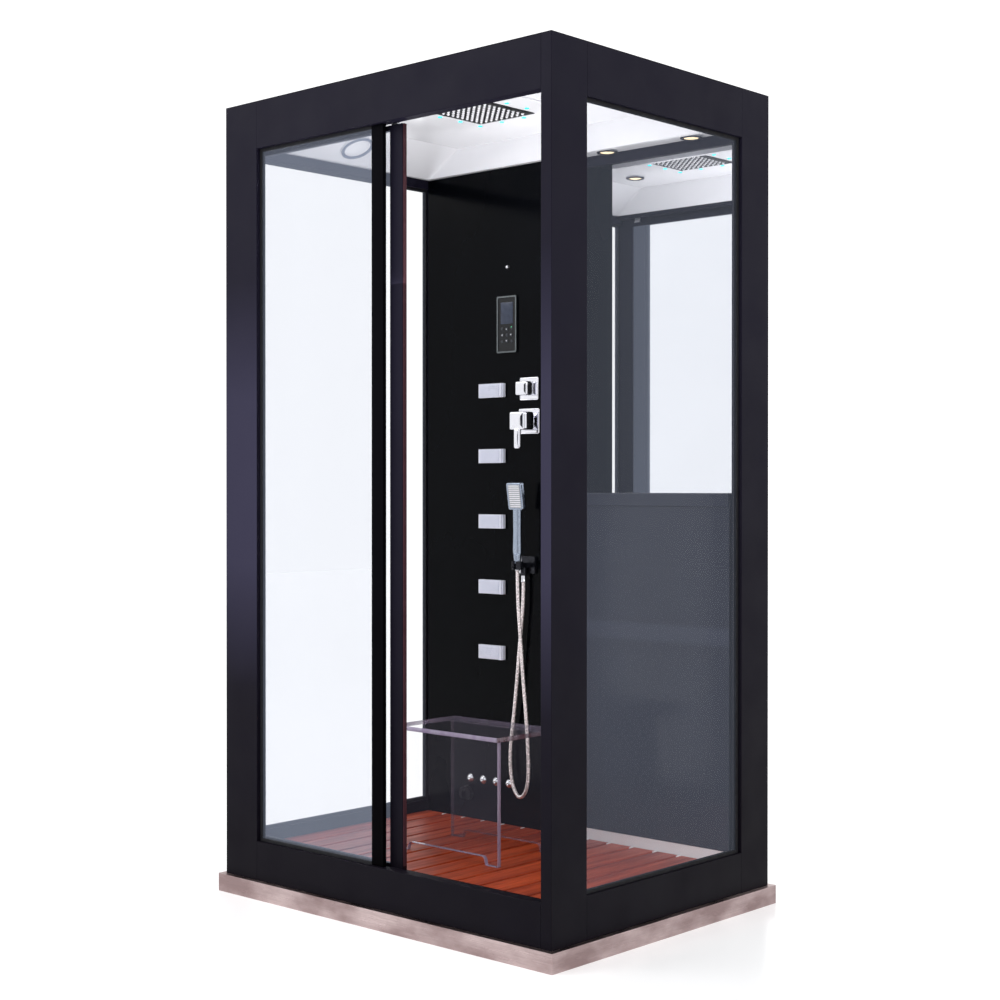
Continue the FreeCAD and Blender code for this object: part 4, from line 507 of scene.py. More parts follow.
def finishes():
    """The shared finishes by name, made once."""
    if not SHARED:
        colours = bpy.context.scene.cabin_colours
        SHARED.update({
            "paint": powder_coat("satin powder coat", colours.frame_paint),
            "cover": powder_coat("satin cover sheet", linear(74, 74, 82), 0.45),
            "steel": brushed_metal("brushed plinth steel", colours.plinth_steel),
            "chrome": polished_metal("polished chrome", colours.chrome),
            "satin": moulded_plastic("satin jet metal", linear(230, 232, 245), 0.3, 0.5),
            "zinc": cast_metal("zinc plate", linear(190, 192, 196)),
            "brass": cast_metal("raw brass", linear(200, 168, 104), 0.3),
            "white": white_acrylic("white acrylic", colours.acrylic_white),
            "clip": moulded_plastic("white plastic", linear(246, 246, 250)),
            "grey": moulded_plastic("grey plastic", linear(176, 178, 184)),
            "case": moulded_plastic("light grey case", linear(200, 200, 204), 0.5),
            "black": moulded_plastic("black plastic", linear(20, 20, 23), 0.4, 0.2),
            "rubber": rubber("black rubber", linear(26, 26, 30)),
            # each pane's veil is a painted reflection, stronger on the front panes than on the side
            # ones
            "glass": clear_sheet("front glass", colours.glass_tint, 0.085, 0.105),
            "side": clear_sheet("side glass", colours.glass_tint, 0.085, 0.048),
            "acrylic": clear_sheet("clear acrylic", linear(190, 184, 210), 0.05, 0.012),
        })
    return SHARED


SHARED = {}


# ---- Operators ----
class Step:
    """What all the operators share."""
    bl_options = {"REGISTER", "UNDO"}


CAMERA_PLACE = (3.0879, -3.4185, 1.1048)
CAMERA_DOWN, CAMERA_ROUND = 0.371, 43.2     # degrees
SENSOR_WIDTH, CAMERA_SHIFT = 36.0, 0.04     # millimetres, share of the sensor's width


class CABIN_OT_camera(Step, bpy.types.Operator):
    """Set up the camera at the viewing angle of the product picture"""
    bl_idname = "cabin.camera"
    bl_label = "Camera"

    def execute(self, context):
        lens = bpy.data.cameras.new("camera")
        lens.lens, lens.sensor_width = context.scene.cabin_sizes.lens_length, SENSOR_WIDTH
        lens.shift_x = CAMERA_SHIFT
        camera = bpy.data.objects.new("camera", lens)
        camera.location = CAMERA_PLACE
        camera.rotation_euler = (math.radians(90 - CAMERA_DOWN), 0.0, math.radians(CAMERA_ROUND))
        context.scene.collection.objects.link(camera)
        context.scene.camera = camera
        return {"FINISHED"}


HOSE_RIB_DEPTH = 0.0007
RIB_STEPS, HOSE_AROUND = 5, 12      # points along one turn of the rib, and round the hose
HOSE_ROUTE = [
    (-0.136, 0.256, 0.890), (-0.136, 0.256, 0.798), (-0.125, 0.255, 0.690), (-0.114, 0.254, 0.570),
    (-0.099, 0.252, 0.450), (-0.090, 0.250, 0.352), (-0.086, 0.247, 0.277), (-0.103, 0.253, 0.232),
    (-0.143, 0.272, 0.211), (-0.182, 0.291, 0.232), (-0.200, 0.298, 0.277), (-0.201, 0.298, 0.350),
    (-0.184, 0.296, 0.452), (-0.169, 0.294, 0.570), (-0.1585, 0.295, 0.685), (-0.148, 0.296, 0.778),
    (-0.148, 0.296, 0.855),
]


def smooth_route(name, points):
    """Points along the smooth line that the route's points pull on."""
    curve = bpy.data.curves.new(name, "CURVE")
    curve.dimensions, curve.resolution_u = "3D", 24
    line = curve.splines.new("NURBS")
    line.points.add(len(points) - 1)
    for point, place in zip(line.points, points):
        point.co = (*place, 1.0)
    line.order_u = 3
    line.use_endpoint_u = True
    holder = bpy.data.objects.new(name, curve)
    mesh = bpy.data.meshes.new_from_object(holder)
    path = np.empty(len(mesh.vertices) * 3)
    mesh.vertices.foreach_get("co", path)
    bpy.data.meshes.remove(mesh)
    bpy.data.objects.remove(holder)
    bpy.data.curves.remove(curve)
    return path.reshape(-1, 3)


class CABIN_OT_hose(Step, bpy.types.Operator):
    """Make the wound metal hose that hangs from the hand shower in one loop"""
    bl_idname = "cabin.hose"
    bl_label = "Shower hose"

    def execute(self, context):
        sizes = context.scene.cabin_sizes
        path = smooth_route("hose route", HOSE_ROUTE)
        steps = np.r_[0.0, np.cumsum(np.linalg.norm(np.diff(path, axis=0), axis=1))]
        length, pitch = steps[-1], sizes.hose_rib_pitch
        along = np.linspace(0, length, int(length / pitch * RIB_STEPS))
        fine = np.stack([np.interp(along, steps, path[:, i]) for i in range(3)], 1)
        # one rib wound along the hose: a cosine of the distance along it plus the angle round it
        wave = 0.5 + 0.5 * np.cos(2 * math.pi * along[:, None] / pitch + angles(HOSE_AROUND))
        surface = tube(fine, sizes.hose_diameter / 2 - HOSE_RIB_DEPTH * wave ** 2, HOSE_AROUND,
                       (0.42, 0.9, 0.0))
        metal = Finish("hose metal", context.scene.cabin_colours.hose_metal, 0.26, Metallic=0.55)
        metal.mottle(0.08, 90.0).smudge(0.08, 120.0)
        hose = add_piece("hose", surface, metal.material, None, 60)
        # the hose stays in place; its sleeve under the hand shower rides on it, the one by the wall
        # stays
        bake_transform(hose)
        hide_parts("shower_hose")
        sleeve = [(0, 0.0060), (0.001, 0.0068), (0.014, 0.0068), (0.0155, 0.0074),
                  (0.019, 0.0074), (0.02, 0.0066)]
        upper = turned(sleeve, (path[0][0], path[0][1], 0.870), "up", 24)
        lower = turned(sleeve, path[-1], "down", 24)
        add_piece("hose_sleeve_grip", upper, "chrome", "handset")
        add_piece("hose_sleeve_outlet", lower, "chrome", "cabin")
        return {"FINISHED"}


class CABIN_OT_frame(Step, bpy.types.Operator):
    """Finish the posts, beams, sills, plinth, covers and feet, and add the screws of the covers"""
    bl_idname = "cabin.frame"
    bl_label = "Frame and covers"

    def execute(self, context):
        dress("paint", "post_back_left", "post_back_right", "beam_top_front", "beam_top_right",
              "beam_top_left", "sill_front", "sill_right", "sill_left", "rear_frame", "roof_cover")
        # the front posts get a copy of the paint with a painted sheen on their front faces
        lit = powder_coat("paint with painted sheen", context.scene.cabin_colours.frame_paint, glow=0.55)
        dress(lit, "post_front_left", "post_front_right")
        dress(powder_coat("dark stile", linear(8, 8, 12), gloss=0.01), "fixed_stile")
        dress("cover", "rear_cover")
        dress("steel", "plinth_skirt")
        dress("zinc", "levelling_feet")
        dress("case", "steam_generator")
        dress("brass", "water_inlets")
        radius = context.scene.cabin_sizes.screw_radius
        domed = [(0.0, radius), (0.0006, radius), (0.0012, radius * 0.85), (0.0015, radius * 0.5),
                 (0.0008, radius * 0.42), (0.0007, radius * 0.1)]
        flat = [(0.0, radius), (0.0003, radius * 0.95), (0.0003, radius * 0.5),
                (0.0001, radius * 0.4), (0.0001, radius * 0.1)]
        low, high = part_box("rear_cover")
        places = [(x, high.y, z) for x, z in self.border(low, high, 2, 0.014, 9)]
        add_piece("back_screws", turned(domed, (0, 0, 0), "back", 12).at(places), "zinc", "cabin")
        low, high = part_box("roof_cover")
        places = [(x, y, high.z) for x, y in self.border(low, high, 1, 0.016, 5)]
        add_piece("roof_screws", turned(flat, (0, 0, 0), "up", 12).at(places), "zinc", "cabin")
        return {"FINISHED"}

    def border(self, low, high, axis, inset, rows):
        """Places along the inset border of a box, in X and another axis: so many rows down both
        sides, and four more places between them at both ends."""
        sides, ends = ((low[i] + inset, high[i] - inset) for i in (0, axis))
        return ([(x, v) for x in sides for v in np.linspace(*ends, rows)]
                + [(x, v) for x in np.linspace(*sides, 6)[1:-1] for v in ends])


class CABIN_OT_glazing(Step, bpy.types.Operator):
    """Finish the panes, their seals and the mirror"""
    bl_idname = "cabin.glazing"
    bl_label = "Glass, seals and mirror"

    def execute(self, context):
        dress("glass", "fixed_glass", "door_glass")
        dress("side", "left_glass", "right_glass")
        dress("rubber", "glazing_seals")
        dress(silvered("mirror"), "mirror")
        return {"FINISHED"}


class CABIN_OT_door(Step, bpy.types.Operator):
    """Finish the sliding door with its tracks and rollers, and add the strip on its leading edge"""
    bl_idname = "cabin.door"
    bl_label = "Sliding door"

    def execute(self, context):
        dress("paint", "door_frame", "door_track_top", "door_track_bottom")
        dress("zinc", "door_hangers")
        dress(moulded_plastic("nylon", linear(205, 205, 200), 0.5), "roller_left", "roller_right")
        low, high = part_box("door_frame")
        foot = low.z + 0.02
        centre = (high.x, (low.y + high.y) / 2, (foot + high.z) / 2)
        strip = slab([(0, 0), (0.0008, 0), (0.0014, 0.0006), (0.0015, 0.002)],
                     context.scene.cabin_sizes.seal_width, high.z - foot, 0.002, centre, "right", 3)
        seal = rubber("dark red seal", context.scene.cabin_colours.seal_red)
        add_piece("door_edge_seal", strip, seal, "door")
        return {"FINISHED"}


class CABIN_OT_tray(Step, bpy.types.Operator):
    """Finish the tray, the duckboard and its clips, and the waste"""
    bl_idname = "cabin.tray"
    bl_label = "Tray and deck"

    def execute(self, context):
        dress("white", "base_tray")
        dress("grey", "waste_trap")
        dress("clip", "deck_bearers")
        dress(oiled_wood("oiled hardwood", context.scene.cabin_colours.deck_wood,
                         context.scene.cabin_sizes.slat_pitch), "deck_slats")
        return {"FINISHED"}


class CABIN_OT_walls(Step, bpy.types.Operator):
    """Finish the column, the lower panel and the ledge"""
    bl_idname = "cabin.walls"
    bl_label = "Back wall"

    def execute(self, context):
        colours = context.scene.cabin_colours
        dress(gloss_panel("column gloss", colours.column_gloss, 0.05), "back_column")
        dress(gloss_panel("lower panel gloss", colours.lower_gloss, 0.2, LOWER_STRIPE),
              "lower_panel")
        dress(gloss_panel("ledge gloss", colours.lower_gloss, 0.2), "ledge_shelf")
        return {"FINISHED"}


PLATE_BORDER = 0.012                # left free of nozzles, both sides together
ROOF_SLOPE = math.radians(27.2)     # of the left slope, which carries the speaker


class CABIN_OT_roof(Step, bpy.types.Operator):
    """Finish the moulded roof and make the spray nozzles, lights, downlights and speaker"""
    bl_idname = "cabin.roof"
    bl_label = "Roof, spray plate and lights"

    def execute(self, context):
        colours = context.scene.cabin_colours
        dress("white", "roof_pan", "rain_panel", "speaker")
        dress("black", "rain_plate")
        dress(glowing("cyan light", colours.light_cyan, LIGHT_STRENGTH), "rain_leds")
        dress("zinc", "downlights")
        self.nozzles(context.scene.cabin_sizes)
        self.lamps(glowing("warm lens", colours.light_warm, LIGHT_STRENGTH))
        self.speaker()
        return {"FINISHED"}

    def nozzles(self, sizes):
        """Soft white nozzles on the spray plate: a turned cone with a small hollow at its tip."""
        low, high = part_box("rain_plate")
        radius, pitch = sizes.nozzle_radius, sizes.nozzle_pitch
        steps = [(0, radius), (0.0012, radius * 0.92), (0.0035, radius * 0.62),
                 (0.0042, radius * 0.5), (0.0036, radius * 0.3)]
        count = int((high.x - low.x - PLATE_BORDER) / pitch)
        line = (np.arange(count) - (count - 1) / 2) * pitch
        x, y = np.meshgrid(line + (low.x + high.x) / 2, line + (low.y + high.y) / 2)
        places = np.stack((x.ravel(), y.ravel(), np.full(x.size, low.z)), 1)
        add_piece("spray_nozzles", turned(steps, (0, 0, 0), "down", 10).at(places),
                  rubber("white silicone", linear(226, 226, 230)), "cabin")

    def lamps(self, glow):
        """Downlights: a dark turned ring round a domed warm lens, under each lamp body."""
        ring = [(0.0, 0.0300), (0.0012, 0.0302), (0.0030, 0.0285), (0.0034, 0.0240),
                (0.0020, 0.0205), (0.0, 0.0200)]
        lens = [(0.0, 0.0202), (0.0012, 0.0198), (0.0024, 0.0150), (0.0030, 0.0080)]
        places = lamp_places()
        add_piece("lamp_rings", turned(ring, (0, 0, 0), "down", 40, closed=True).at(places),
                  cast_metal("dark bezel", linear(80, 82, 92), 0.3), "cabin")
        add_piece("lamp_lenses", turned(lens, (0, 0, 0), "down", 32).at(places), glow, "cabin")

    def speaker(self):
        """Speaker on the left slope: a rounded ring and a shallow white cone."""
        tilted = ((math.cos(ROOF_SLOPE), 0, math.sin(ROOF_SLOPE)), (0, -1, 0))
        centre = middle("speaker") + directions(tilted)[2] * 0.003
        ring = [(0.0, 0.0478), (0.0030, 0.0480), (0.0048, 0.0460), (0.0050, 0.0425),
                (0.0030, 0.0396), (0.0, 0.0388)]
        add_piece("speaker_ring", turned(ring, centre, tilted, 56, closed=True),
                  moulded_plastic("blue-grey plastic", linear(120, 128, 146), 0.3), "cabin")
        waves = [(0.0, 0.0386), (0.0014, 0.0370), (0.0006, 0.0330), (0.0022, 0.0280),
                 (0.0008, 0.0230), (0.0024, 0.0170), (0.0034, 0.0090), (0.0038, 0.0030)]
        add_piece("speaker_face", turned(waves, centre, tilted, 56), "clip", "cabin", 80)


def lamp_places():
    """The middle of each downlight's underside, from the CAD node's three separate lamps."""
    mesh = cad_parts["downlights"].data
    points = np.empty(len(mesh.vertices) * 3)
    mesh.vertices.foreach_get("co", points)
    points = points.reshape(-1, 3)
    left = points[:, 0] < 0
    right = points[~left]
    split = (right[:, 0].min() + right[:, 0].max()) / 2
    places = []
    for group in (points[left], right[right[:, 0] < split], right[right[:, 0] > split]):
        low, high = group.min(0), group.max(0)
        places.append((*(low[:2] + high[:2]) / 2, low[2]))
    return places


def pillowed(low, high, foot, corner):
    """A box above a given foot, as a block whose front edges are pillowed."""
    depth = high.y - low.y
    steps = [(0, 0.0008), (0.0006, 0), (depth - 0.004, 0), (depth - 0.0016, 0.0008),
             (depth - 0.0004, 0.0024), (depth, 0.0045)]
    centre = ((low.x + high.x) / 2, high.y, (foot + high.z) / 2)
    return slab(steps, high.x - low.x, high.z - foot, corner, centre, "front", 6)


LEVER_BLOCK = 0.052             # height of the mixer's block above its lever
BRACKET_BLACK = linear(34, 35, 42)
GRIP_MIDDLE_Y = 0.256           # of the hand shower's nut and grip
HEAD_LEAN = math.radians(9)


class CABIN_OT_fittings(Step, bpy.types.Operator):
    """Finish the jets and the bracket, and make the valves, foot jets and hand shower"""
    bl_idname = "cabin.fittings"
    bl_label = "Valves, jets and hand shower"

    def execute(self, context):
        dress("chrome", "diverter_knob", "diverter_plate", "mixer_plate", "mixer_hub",
              "mixer_handle", "handset", "floor_jets")
        dress(self.bracket(), "shower_bracket")
        dress("satin", "body_jets")
        dress("black", "steam_outlet")
        self.valve("diverter_knob", "diverter_knob_polished", "diverter", 0.005)
        self.plates()
        self.mixer_handle()
        self.foot_jets()
        self.hand_shower()
        return {"FINISHED"}

    def bracket(self):
        """A black bracket with its bright collar at the left."""
        finish = Finish("bracket", BRACKET_BLACK, 0.22, Metallic=0.6)
        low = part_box("shower_bracket")[0].x
        collar = finish.spread(finish.axis("X"), 1.0, 0.0, low + 0.014, low + 0.016)
        finish.feed("Base Color", finish.mix(collar, BRACKET_BLACK, linear(238, 238, 244)))
        return finish.smudge(0.04, 60.0).material

    def valve(self, node, name, body, corner):
        """A square knob with pillowed edges in place of the plain one."""
        low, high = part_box(node)
        knob = add_piece(name, pillowed(low, high, low.z, corner), "chrome", body, 50)
        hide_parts(node)

    def plates(self):
        """Thin bright frames on the front edges of the wall plates."""
        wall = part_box("mixer_plate")[1].y
        steps = [(0.0, 0.0), (0.0004, 0.0003), (0.0012, 0.0012), (0.0013, 0.0025),
                 (0.0004, 0.0036), (0.0, 0.0038)]
        for node in ("diverter_plate", "mixer_plate"):
            low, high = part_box(node)
            centre = ((low.x + high.x) / 2, wall - 0.008, (low.z + high.z) / 2)
            rim = slab(steps, high.x - low.x, high.z - low.z, 0.004, centre, closed=True)
            add_piece(node + "_rim", rim, "chrome", "cabin", 50)

    def mixer_handle(self):
        """The mixer's block with pillowed edges, and its lever as a tapered tongue below it."""
        low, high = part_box("mixer_handle")
        foot = high.z - LEVER_BLOCK
        drop = foot - low.z + 0.006
        tongue = [(0, 0.0004), (0.0006, 0.0), (0.0068, 0.0), (0.0082, 0.0008), (0.009, 0.0026)]
        place = ((low.x + high.x) / 2, low.y + 0.009, low.z + drop / 2)
        shape = pillowed(low, high, foot, 0.005) + slab(tongue, 0.022, drop, 0.006, place, count=6)
        handle = add_piece("mixer_handle_polished", shape, "chrome", "mixer_handle", 50)
        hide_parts("mixer_handle")

    def foot_jets(self):
        """Four domes with a stepped rim: profiles turned round their middle lines."""
        low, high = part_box("floor_jets")
        steps = [(0.0, 0.0120), (0.0022, 0.0120), (0.0030, 0.0112), (0.0032, 0.0102),
                 (0.0050, 0.0096), (0.0070, 0.0080), (0.0084, 0.0058), (0.0090, 0.0034),
                 (0.0086, 0.0022), (0.0078, 0.0012)]
        places = [(x, high.y, (low.z + high.z) / 2)
                  for x in np.linspace(low.x + 0.012, high.x - 0.012, 4)]
        domes = add_piece("foot_jets", turned(steps, (0, 0, 0), "front", 28).at(places), "chrome",
                          "cabin", 40)
        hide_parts("floor_jets")

    def hand_shower(self):
        """Fluted nut, waisted grip and leaning head with a slotted face."""
        low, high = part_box("handset")
        x, y, foot = (low.x + high.x) / 2, GRIP_MIDDLE_Y, low.z
        nut = turned([(0, 0.0086), (0.001, 0.0092), (0.004, 0.0096), (0.023, 0.0117),
                      (0.0262, 0.0120), (0.028, 0.0112)], (x, y, foot), "up", 64, 16, 0.0006)
        t = np.linspace(0, 1, 16)
        waist = 0.0012 * np.sin(math.pi * t) + 0.0006 * t + 0.0016 * np.exp(-t * 40)
        grip = slab(np.stack((t * 0.134, waist), 1), 0.030, 0.017, 0.0075, (x, y, foot + 0.028),
                    "up", 7)
        tilted = ((1, 0, 0), (0, -math.sin(HEAD_LEAN), math.cos(HEAD_LEAN)))
        rise = np.array(tilted[1])
        centre = np.array((x, y, foot + 0.156)) + rise * 0.039
        head = slab([(-0.008, 0.003), (-0.0074, 0.0012), (-0.0062, 0.0), (0.0062, 0.0),
                     (0.0074, 0.0008), (0.008, 0.0026), (0.0080, 0.0052), (0.0070, 0.0058),
                     (0.0070, 0.0080)], 0.056, 0.078, 0.006, centre, tilted, 6)
        metal = polished_metal("blue-grey chrome", linear(160, 170, 186), 0.22)
        handset = add_piece("hand_shower", nut + grip + head, metal, "handset", 40)
        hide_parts("handset")
        face = slab([(0.0068, 0.0), (0.0074, 0.0002), (0.0075, 0.001)], 0.0445, 0.0665, 0.003,
                    centre, tilted, 4)
        add_piece("hand_shower_face", face, "grey", "handset")
        bar = slab([(0.0072, 0.0), (0.0082, 0.0002), (0.0086, 0.0008)], 0.040, 0.0036, 0.0012,
                   centre, tilted, 3)
        levels = (np.arange(11) - 5)[:, None] * 0.0060 * rise[None]
        add_piece("hand_shower_bars", bar.at(levels), "clip", "handset")


PANEL_HEIGHT = 0.166            # the panel's own height; its CAD node also holds the sensor
SCREEN_SIZE = (0.047, 0.0635)
SCREEN_LEVEL, MARKS_LEVEL, LIGHT_LEVEL = 0.116, 0.052, 0.074    # above the panel's foot
MARKS_APART = 0.019             # from the middle mark to the others, both ways
SENSOR_LEVEL = 1.755


class CABIN_OT_controls(Step, bpy.types.Operator):
    """Finish the control panel and its keys, and make its screen, trim and marks"""
    bl_idname = "cabin.controls"
    bl_label = "Control panel"

    def execute(self, context):
        low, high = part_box("control_panel")
        x, foot = (low.x + high.x) / 2, low.z
        dress(gloss_panel("panel gloss", linear(16, 18, 22), 0.3), "control_panel")
        keys = moulded_plastic("key grey", linear(46, 49, 57), 0.4)
        for body, turn in (("key_up", 90), ("key_down", -90), ("key_left", 180), ("key_right", 0)):
            dress(keys, body)
            self.arrow(body, math.radians(turn))
        # a thin trim ring round the panel; its light grey-green is a painted highlight along the
        # border's edge
        trim = slab([(0.0, 0.0), (0.0008, 0.0002), (0.0010, 0.0010), (0.0008, 0.0040),
                     (0.0, 0.0044)], high.x - low.x, PANEL_HEIGHT, 0.004,
                    (x, low.y, foot + PANEL_HEIGHT / 2), "front", 6, closed=True)
        add_piece("panel_trim", trim, moulded_plastic("panel trim painted highlight", linear(104, 110, 112), 0.4),
                  "cabin")
        face = low.y + 0.0015
        screen = slab([(0.0, 0.0), (0.0006, 0.0002), (0.0007, 0.0008)], *SCREEN_SIZE, 0.002,
                      (x, face, foot + SCREEN_LEVEL), "front", 4)
        add_piece("panel_screen", screen, self.display(), "cabin")
        ways = (-MARKS_APART, MARKS_APART)
        places = [(x + dx, face, foot + MARKS_LEVEL + dz) for dx in ways for dz in ways]
        places.append((x, face, foot + MARKS_LEVEL))
        dot = turned([(0, 0.0042), (0.0005, 0.0041), (0.0007, 0.0034)], (0, 0, 0), "front", 20)
        add_piece("panel_touch_marks", dot.at(places), keys, "cabin")
        lamp = turned([(0, 0.0018), (0.0006, 0.0016), (0.0009, 0.0008)],
                      (x + 0.018, face, foot + LIGHT_LEVEL), "front", 16)
        add_piece("panel_status_light", lamp, glowing("green light", linear(90, 210, 150), 0.8),
                  "cabin")
        tip = turned([(0, 0.0046), (0.0008, 0.0044), (0.0018, 0.0030), (0.0021, 0.0012)],
                     (x, high.y - 0.004, SENSOR_LEVEL), "front", 24)
        add_piece("sensor_tip", tip, "chrome", "cabin", 60)
        return {"FINISHED"}

    def arrow(self, body, turn):
        """A small raised triangle on a key, its corners a third of a turn apart."""
        low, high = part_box(body)
        across = (math.cos(turn), 0, math.sin(turn))
        up = (-math.sin(turn), 0, math.cos(turn))
        centre = ((low.x + high.x) / 2, low.y, (low.z + high.z) / 2)
        mark = turned([(-0.0001, 0.0026), (0.0002, 0.0026), (0.0003, 0.0022)], centre,
                      (across, up), 3)
        add_piece(body + "_mark", mark, "clip", body)

    def display(self):
        """A blue-grey screen."""
        finish = Finish("screen", linear(55, 62, 80), 0.15, Specular_IOR_Level=0.3)
        spots = finish.spread(finish.noise(70.0), 0.0, 1.0)
        finish.feed("Base Color", finish.mix(spots, linear(54, 62, 80), linear(64, 71, 90)))
        return finish.smudge(0.04, 60.0).material


SHEET = 0.011                   # thickness of the stool's acrylic
LEG_WIDTH, ARCH_HEIGHT = 0.044, 0.022


class CABIN_OT_stool(Step, bpy.types.Operator):
    """Finish the clear stool and make its polished edges"""
    bl_idname = "cabin.stool"
    bl_label = "Stool"

    def execute(self, context):
        dress("acrylic", "stool")
        low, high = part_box("stool")
        half, lip = SHEET / 2, 0.0003
        corners = [(low.x, low.y), (high.x, low.y), (high.x, high.y), (low.x, high.y)]
        section = [(-0.0012, -half - lip), (0.0, -half - lip), (lip, -half), (lip, half),
                   (0.0, half + lip), (-0.0012, half + lip)]
        shape = edging(outline(corners, [0.005] * 4), section, (0, 0, high.z - half), "up")
        left, right, top, arch = low.x + 0.006, high.x - 0.006, high.z - SHEET, low.z + ARCH_HEIGHT
        corners = [(left, low.z), (left + LEG_WIDTH, low.z), (left + LEG_WIDTH + 0.006, arch),
                   (right - LEG_WIDTH - 0.006, arch), (right - LEG_WIDTH, low.z), (right, low.z),
                   (right, top), (left, top)]
        leg = outline(corners, [0.003, 0.003, 0.008, 0.008, 0.003, 0.003, 0.002, 0.002])
        for y in (low.y + 0.009 + half, high.y - 0.009 - half):
            shape = shape + edging(leg, section, (0, y, 0))
        finish = self.edge_finish(context.scene.cabin_colours.stool_edge, low, high)
        add_piece("stool_edges", shape, finish, "stool", 50)
        return {"FINISHED"}

    def edge_finish(self, colour, low, high):
        """Polished edges with painted glints: lilac, dark red at the right end, lighter painted
        streaks, faint at the back.
        """
        finish = Finish("acrylic edge with painted glints", colour, 0.1, Specular_IOR_Level=0.5)
        # painted glints: the right end dark red, the streaks lighter, the front edges showing more
        # than the back ones
        end = finish.spread(finish.axis("X"), 0.0, 1.0, high.x - 0.004, high.x - 0.001)
        painted_glint_streak = finish.spread(finish.noise(60.0, (1, 1, 0.2)), 0.0, 0.5)
        body = finish.mix(end, colour, linear(92, 40, 46))
        finish.feed("Base Color", finish.mix(painted_glint_streak, body, linear(205, 198, 216)))
        clear = finish.spread(finish.axis("Y"), 0.7, 0.16, low.y + 0.02, high.y - 0.02)
        finish.feed("Alpha", clear)
        return finish.smudge(0.04, 80.0).material


LAMP_AIM = (0.0, 0.0, 1.1)
STUDIO_LAMPS = (    # name, place, size, power
    ("key lamp", (-2.6, -3.6, 4.2), 3.0, 90.0),
    ("fill lamp", (3.8, -1.2, 3.4), 3.0, 50.0),
    ("top lamp", (0.0, 1.5, 5.0), 4.0, 40.0),
)
HIDDEN_LAMPS = (    # the same, and the angle from facing down, by way of the back, to up
    ("ceiling fill", (0.12, -0.12, 1.62), 0.62, 4.0, math.pi),
    ("column fill", (0.05, -1.25, 1.05), 1.0, 8.0, math.pi / 2),
)
WORLD_LIGHT, WORLD_SEEN = 0.62, 1.23
FLOOR_REACH, FLOOR_GLOW = 14.0, 0.39


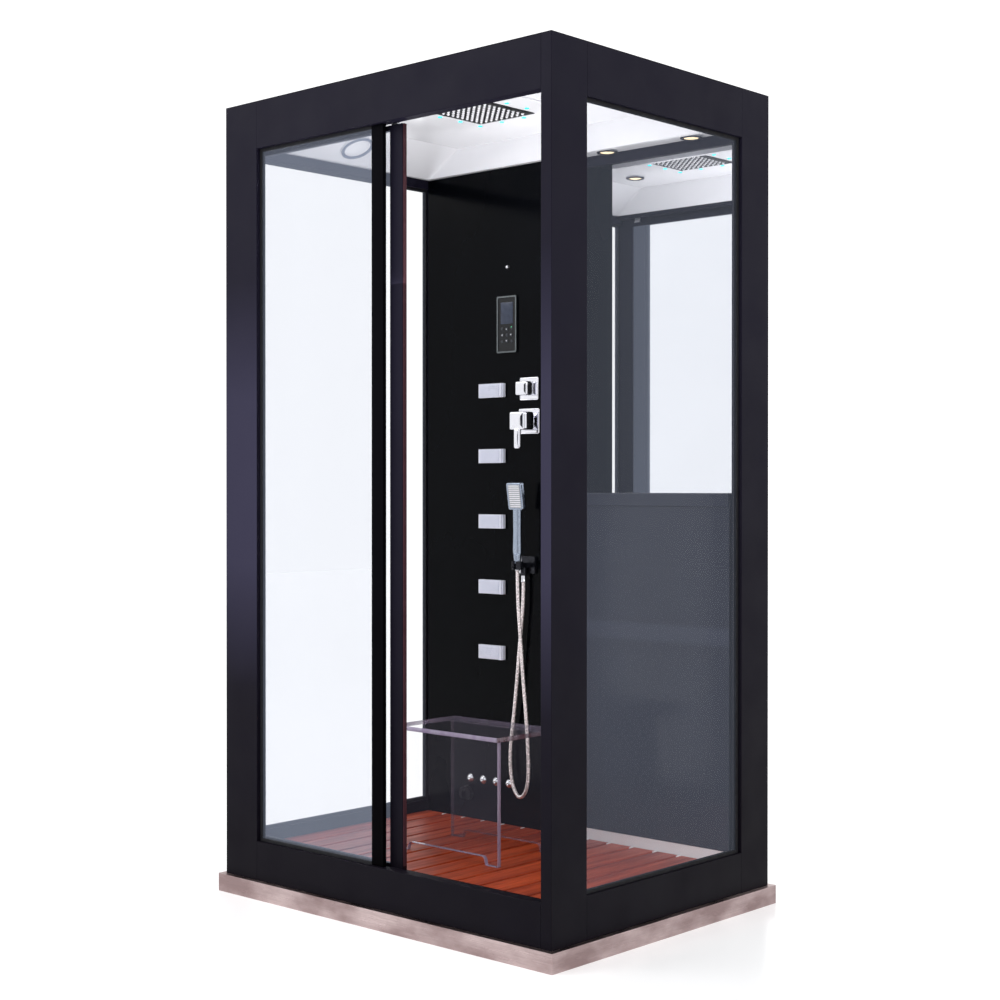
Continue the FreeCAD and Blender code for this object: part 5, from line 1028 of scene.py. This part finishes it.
class CABIN_OT_stage(Step, bpy.types.Operator):
    """Set up the floor, the soft studio light and the white surroundings"""
    bl_idname = "cabin.stage"
    bl_label = "Stage"

    def execute(self, context):
        self.surroundings()
        self.floor()
        for name, place, size, power in STUDIO_LAMPS:
            aim = np.array(LAMP_AIM) - np.array(place)
            tilt = math.pi / 2 + math.atan2(aim[2], math.hypot(aim[0], aim[1]))
            turn = math.atan2(aim[1], aim[0]) - math.pi / 2
            self.lamp(name, place, size, power, (tilt, 0.0, turn))
        for name, place, size, power, turn in HIDDEN_LAMPS:
            item = self.lamp(name, place, size, power, (turn, 0.0, 0.0))
            item.visible_camera = item.visible_glossy = item.visible_transmission = False
        context.scene.view_settings.view_transform = "Standard"
        return {"FINISHED"}

    def lamp(self, name, place, size, power, rotation):
        """A square soft lamp."""
        light = bpy.data.lights.new(name, "AREA")
        light.size, light.energy = size, power
        item = bpy.data.objects.new(name, light)
        item.location, item.rotation_euler = place, rotation
        bpy.context.scene.collection.objects.link(item)
        return item

    def seen(self, tree):
        """One where a camera, mirror or glass ray looks, else nought."""
        path = add_node(tree, "ShaderNodeLightPath").outputs
        total = path["Is Camera Ray"]
        for name in ("Is Glossy Ray", "Is Transmission Ray"):
            total = add_node(tree, "ShaderNodeMath", {0: total, 1: path[name]},
                             operation="MAXIMUM").outputs[0]
        return total

    def surroundings(self):
        """White where seen, a plain grey light elsewhere."""
        world = bpy.data.worlds.new("studio")
        bpy.context.scene.world = world
        world.use_nodes = True
        tree = world.node_tree
        back = tree.nodes["Background"]
        level = add_node(tree, "ShaderNodeMapRange", {"Value": self.seen(tree),
                                                      "To Min": WORLD_LIGHT, "To Max": WORLD_SEEN})
        tree.links.new(level.outputs["Result"], back.inputs["Strength"])
        back.inputs["Color"].default_value = (1.0, 1.0, 1.0, 1.0)

    def floor(self):
        """A wide pale floor, faintly glossy; seen directly it is a little brighter, so that only
        the shadow and the reflection of the cabin show."""
        mesh = bpy.data.meshes.new("floor")
        line = np.linspace(-FLOOR_REACH, FLOOR_REACH, 15)
        x, y = np.meshgrid(line, line)
        points = np.stack((x.ravel(), y.ravel(), np.zeros(x.size)), 1)
        index = np.arange(x.size).reshape(x.shape)
        quads = np.stack((index[:-1, :-1], index[:-1, 1:], index[1:, 1:], index[1:, :-1]), -1)
        mesh.from_pydata(points.tolist(), [], quads.reshape(-1, 4).tolist())
        finish = Finish("pale floor", (0.78, 0.78, 0.79), 0.22, Emission_Color=(1.0, 1.0, 1.0, 1.0))
        glow = finish.maths("MULTIPLY", self.seen(finish.tree), FLOOR_GLOW)
        mesh.materials.append(finish.feed("Emission Strength", glow).material)
        item = bpy.data.objects.new("floor", mesh)
        bpy.context.scene.collection.objects.link(item)


class CABIN_PT_panel(bpy.types.Panel):
    """The cabin's steps and settings in the sidebar"""
    bl_label = "Steam Shower Cabin"
    bl_idname = "CABIN_PT_panel"
    bl_space_type = "VIEW_3D"
    bl_region_type = "UI"
    bl_category = "Cabin"

    def draw(self, context):
        column = self.layout.column(align=True)
        for step in STEPS:
            column.operator(step.bl_idname)
        for settings in (context.scene.cabin_colours, context.scene.cabin_sizes):
            box = self.layout.box()
            for name in settings.__annotations__:
                box.prop(settings, name)


STEPS = (CABIN_OT_camera, CABIN_OT_hose, CABIN_OT_frame, CABIN_OT_glazing, CABIN_OT_door,
         CABIN_OT_tray, CABIN_OT_walls, CABIN_OT_roof, CABIN_OT_fittings, CABIN_OT_controls,
         CABIN_OT_stool, CABIN_OT_stage)
CLASSES = (CabinColours, CabinSizes) + STEPS + (CABIN_PT_panel,)


def register():
    """Add the settings, operators and panel to Blender."""
    for item in CLASSES:
        bpy.utils.register_class(item)
    bpy.types.Scene.cabin_colours = bpy.props.PointerProperty(type=CabinColours)
    bpy.types.Scene.cabin_sizes = bpy.props.PointerProperty(type=CabinSizes)


def unregister():
    """Take them away again."""
    del bpy.types.Scene.cabin_sizes
    del bpy.types.Scene.cabin_colours
    for item in reversed(CLASSES):
        bpy.utils.unregister_class(item)


def main():
    """Run every step in order."""
    register()
    for step in STEPS:
        group, name = step.bl_idname.split(".")
        getattr(getattr(bpy.ops, group), name)()


if __name__ == "__main__":
    main()
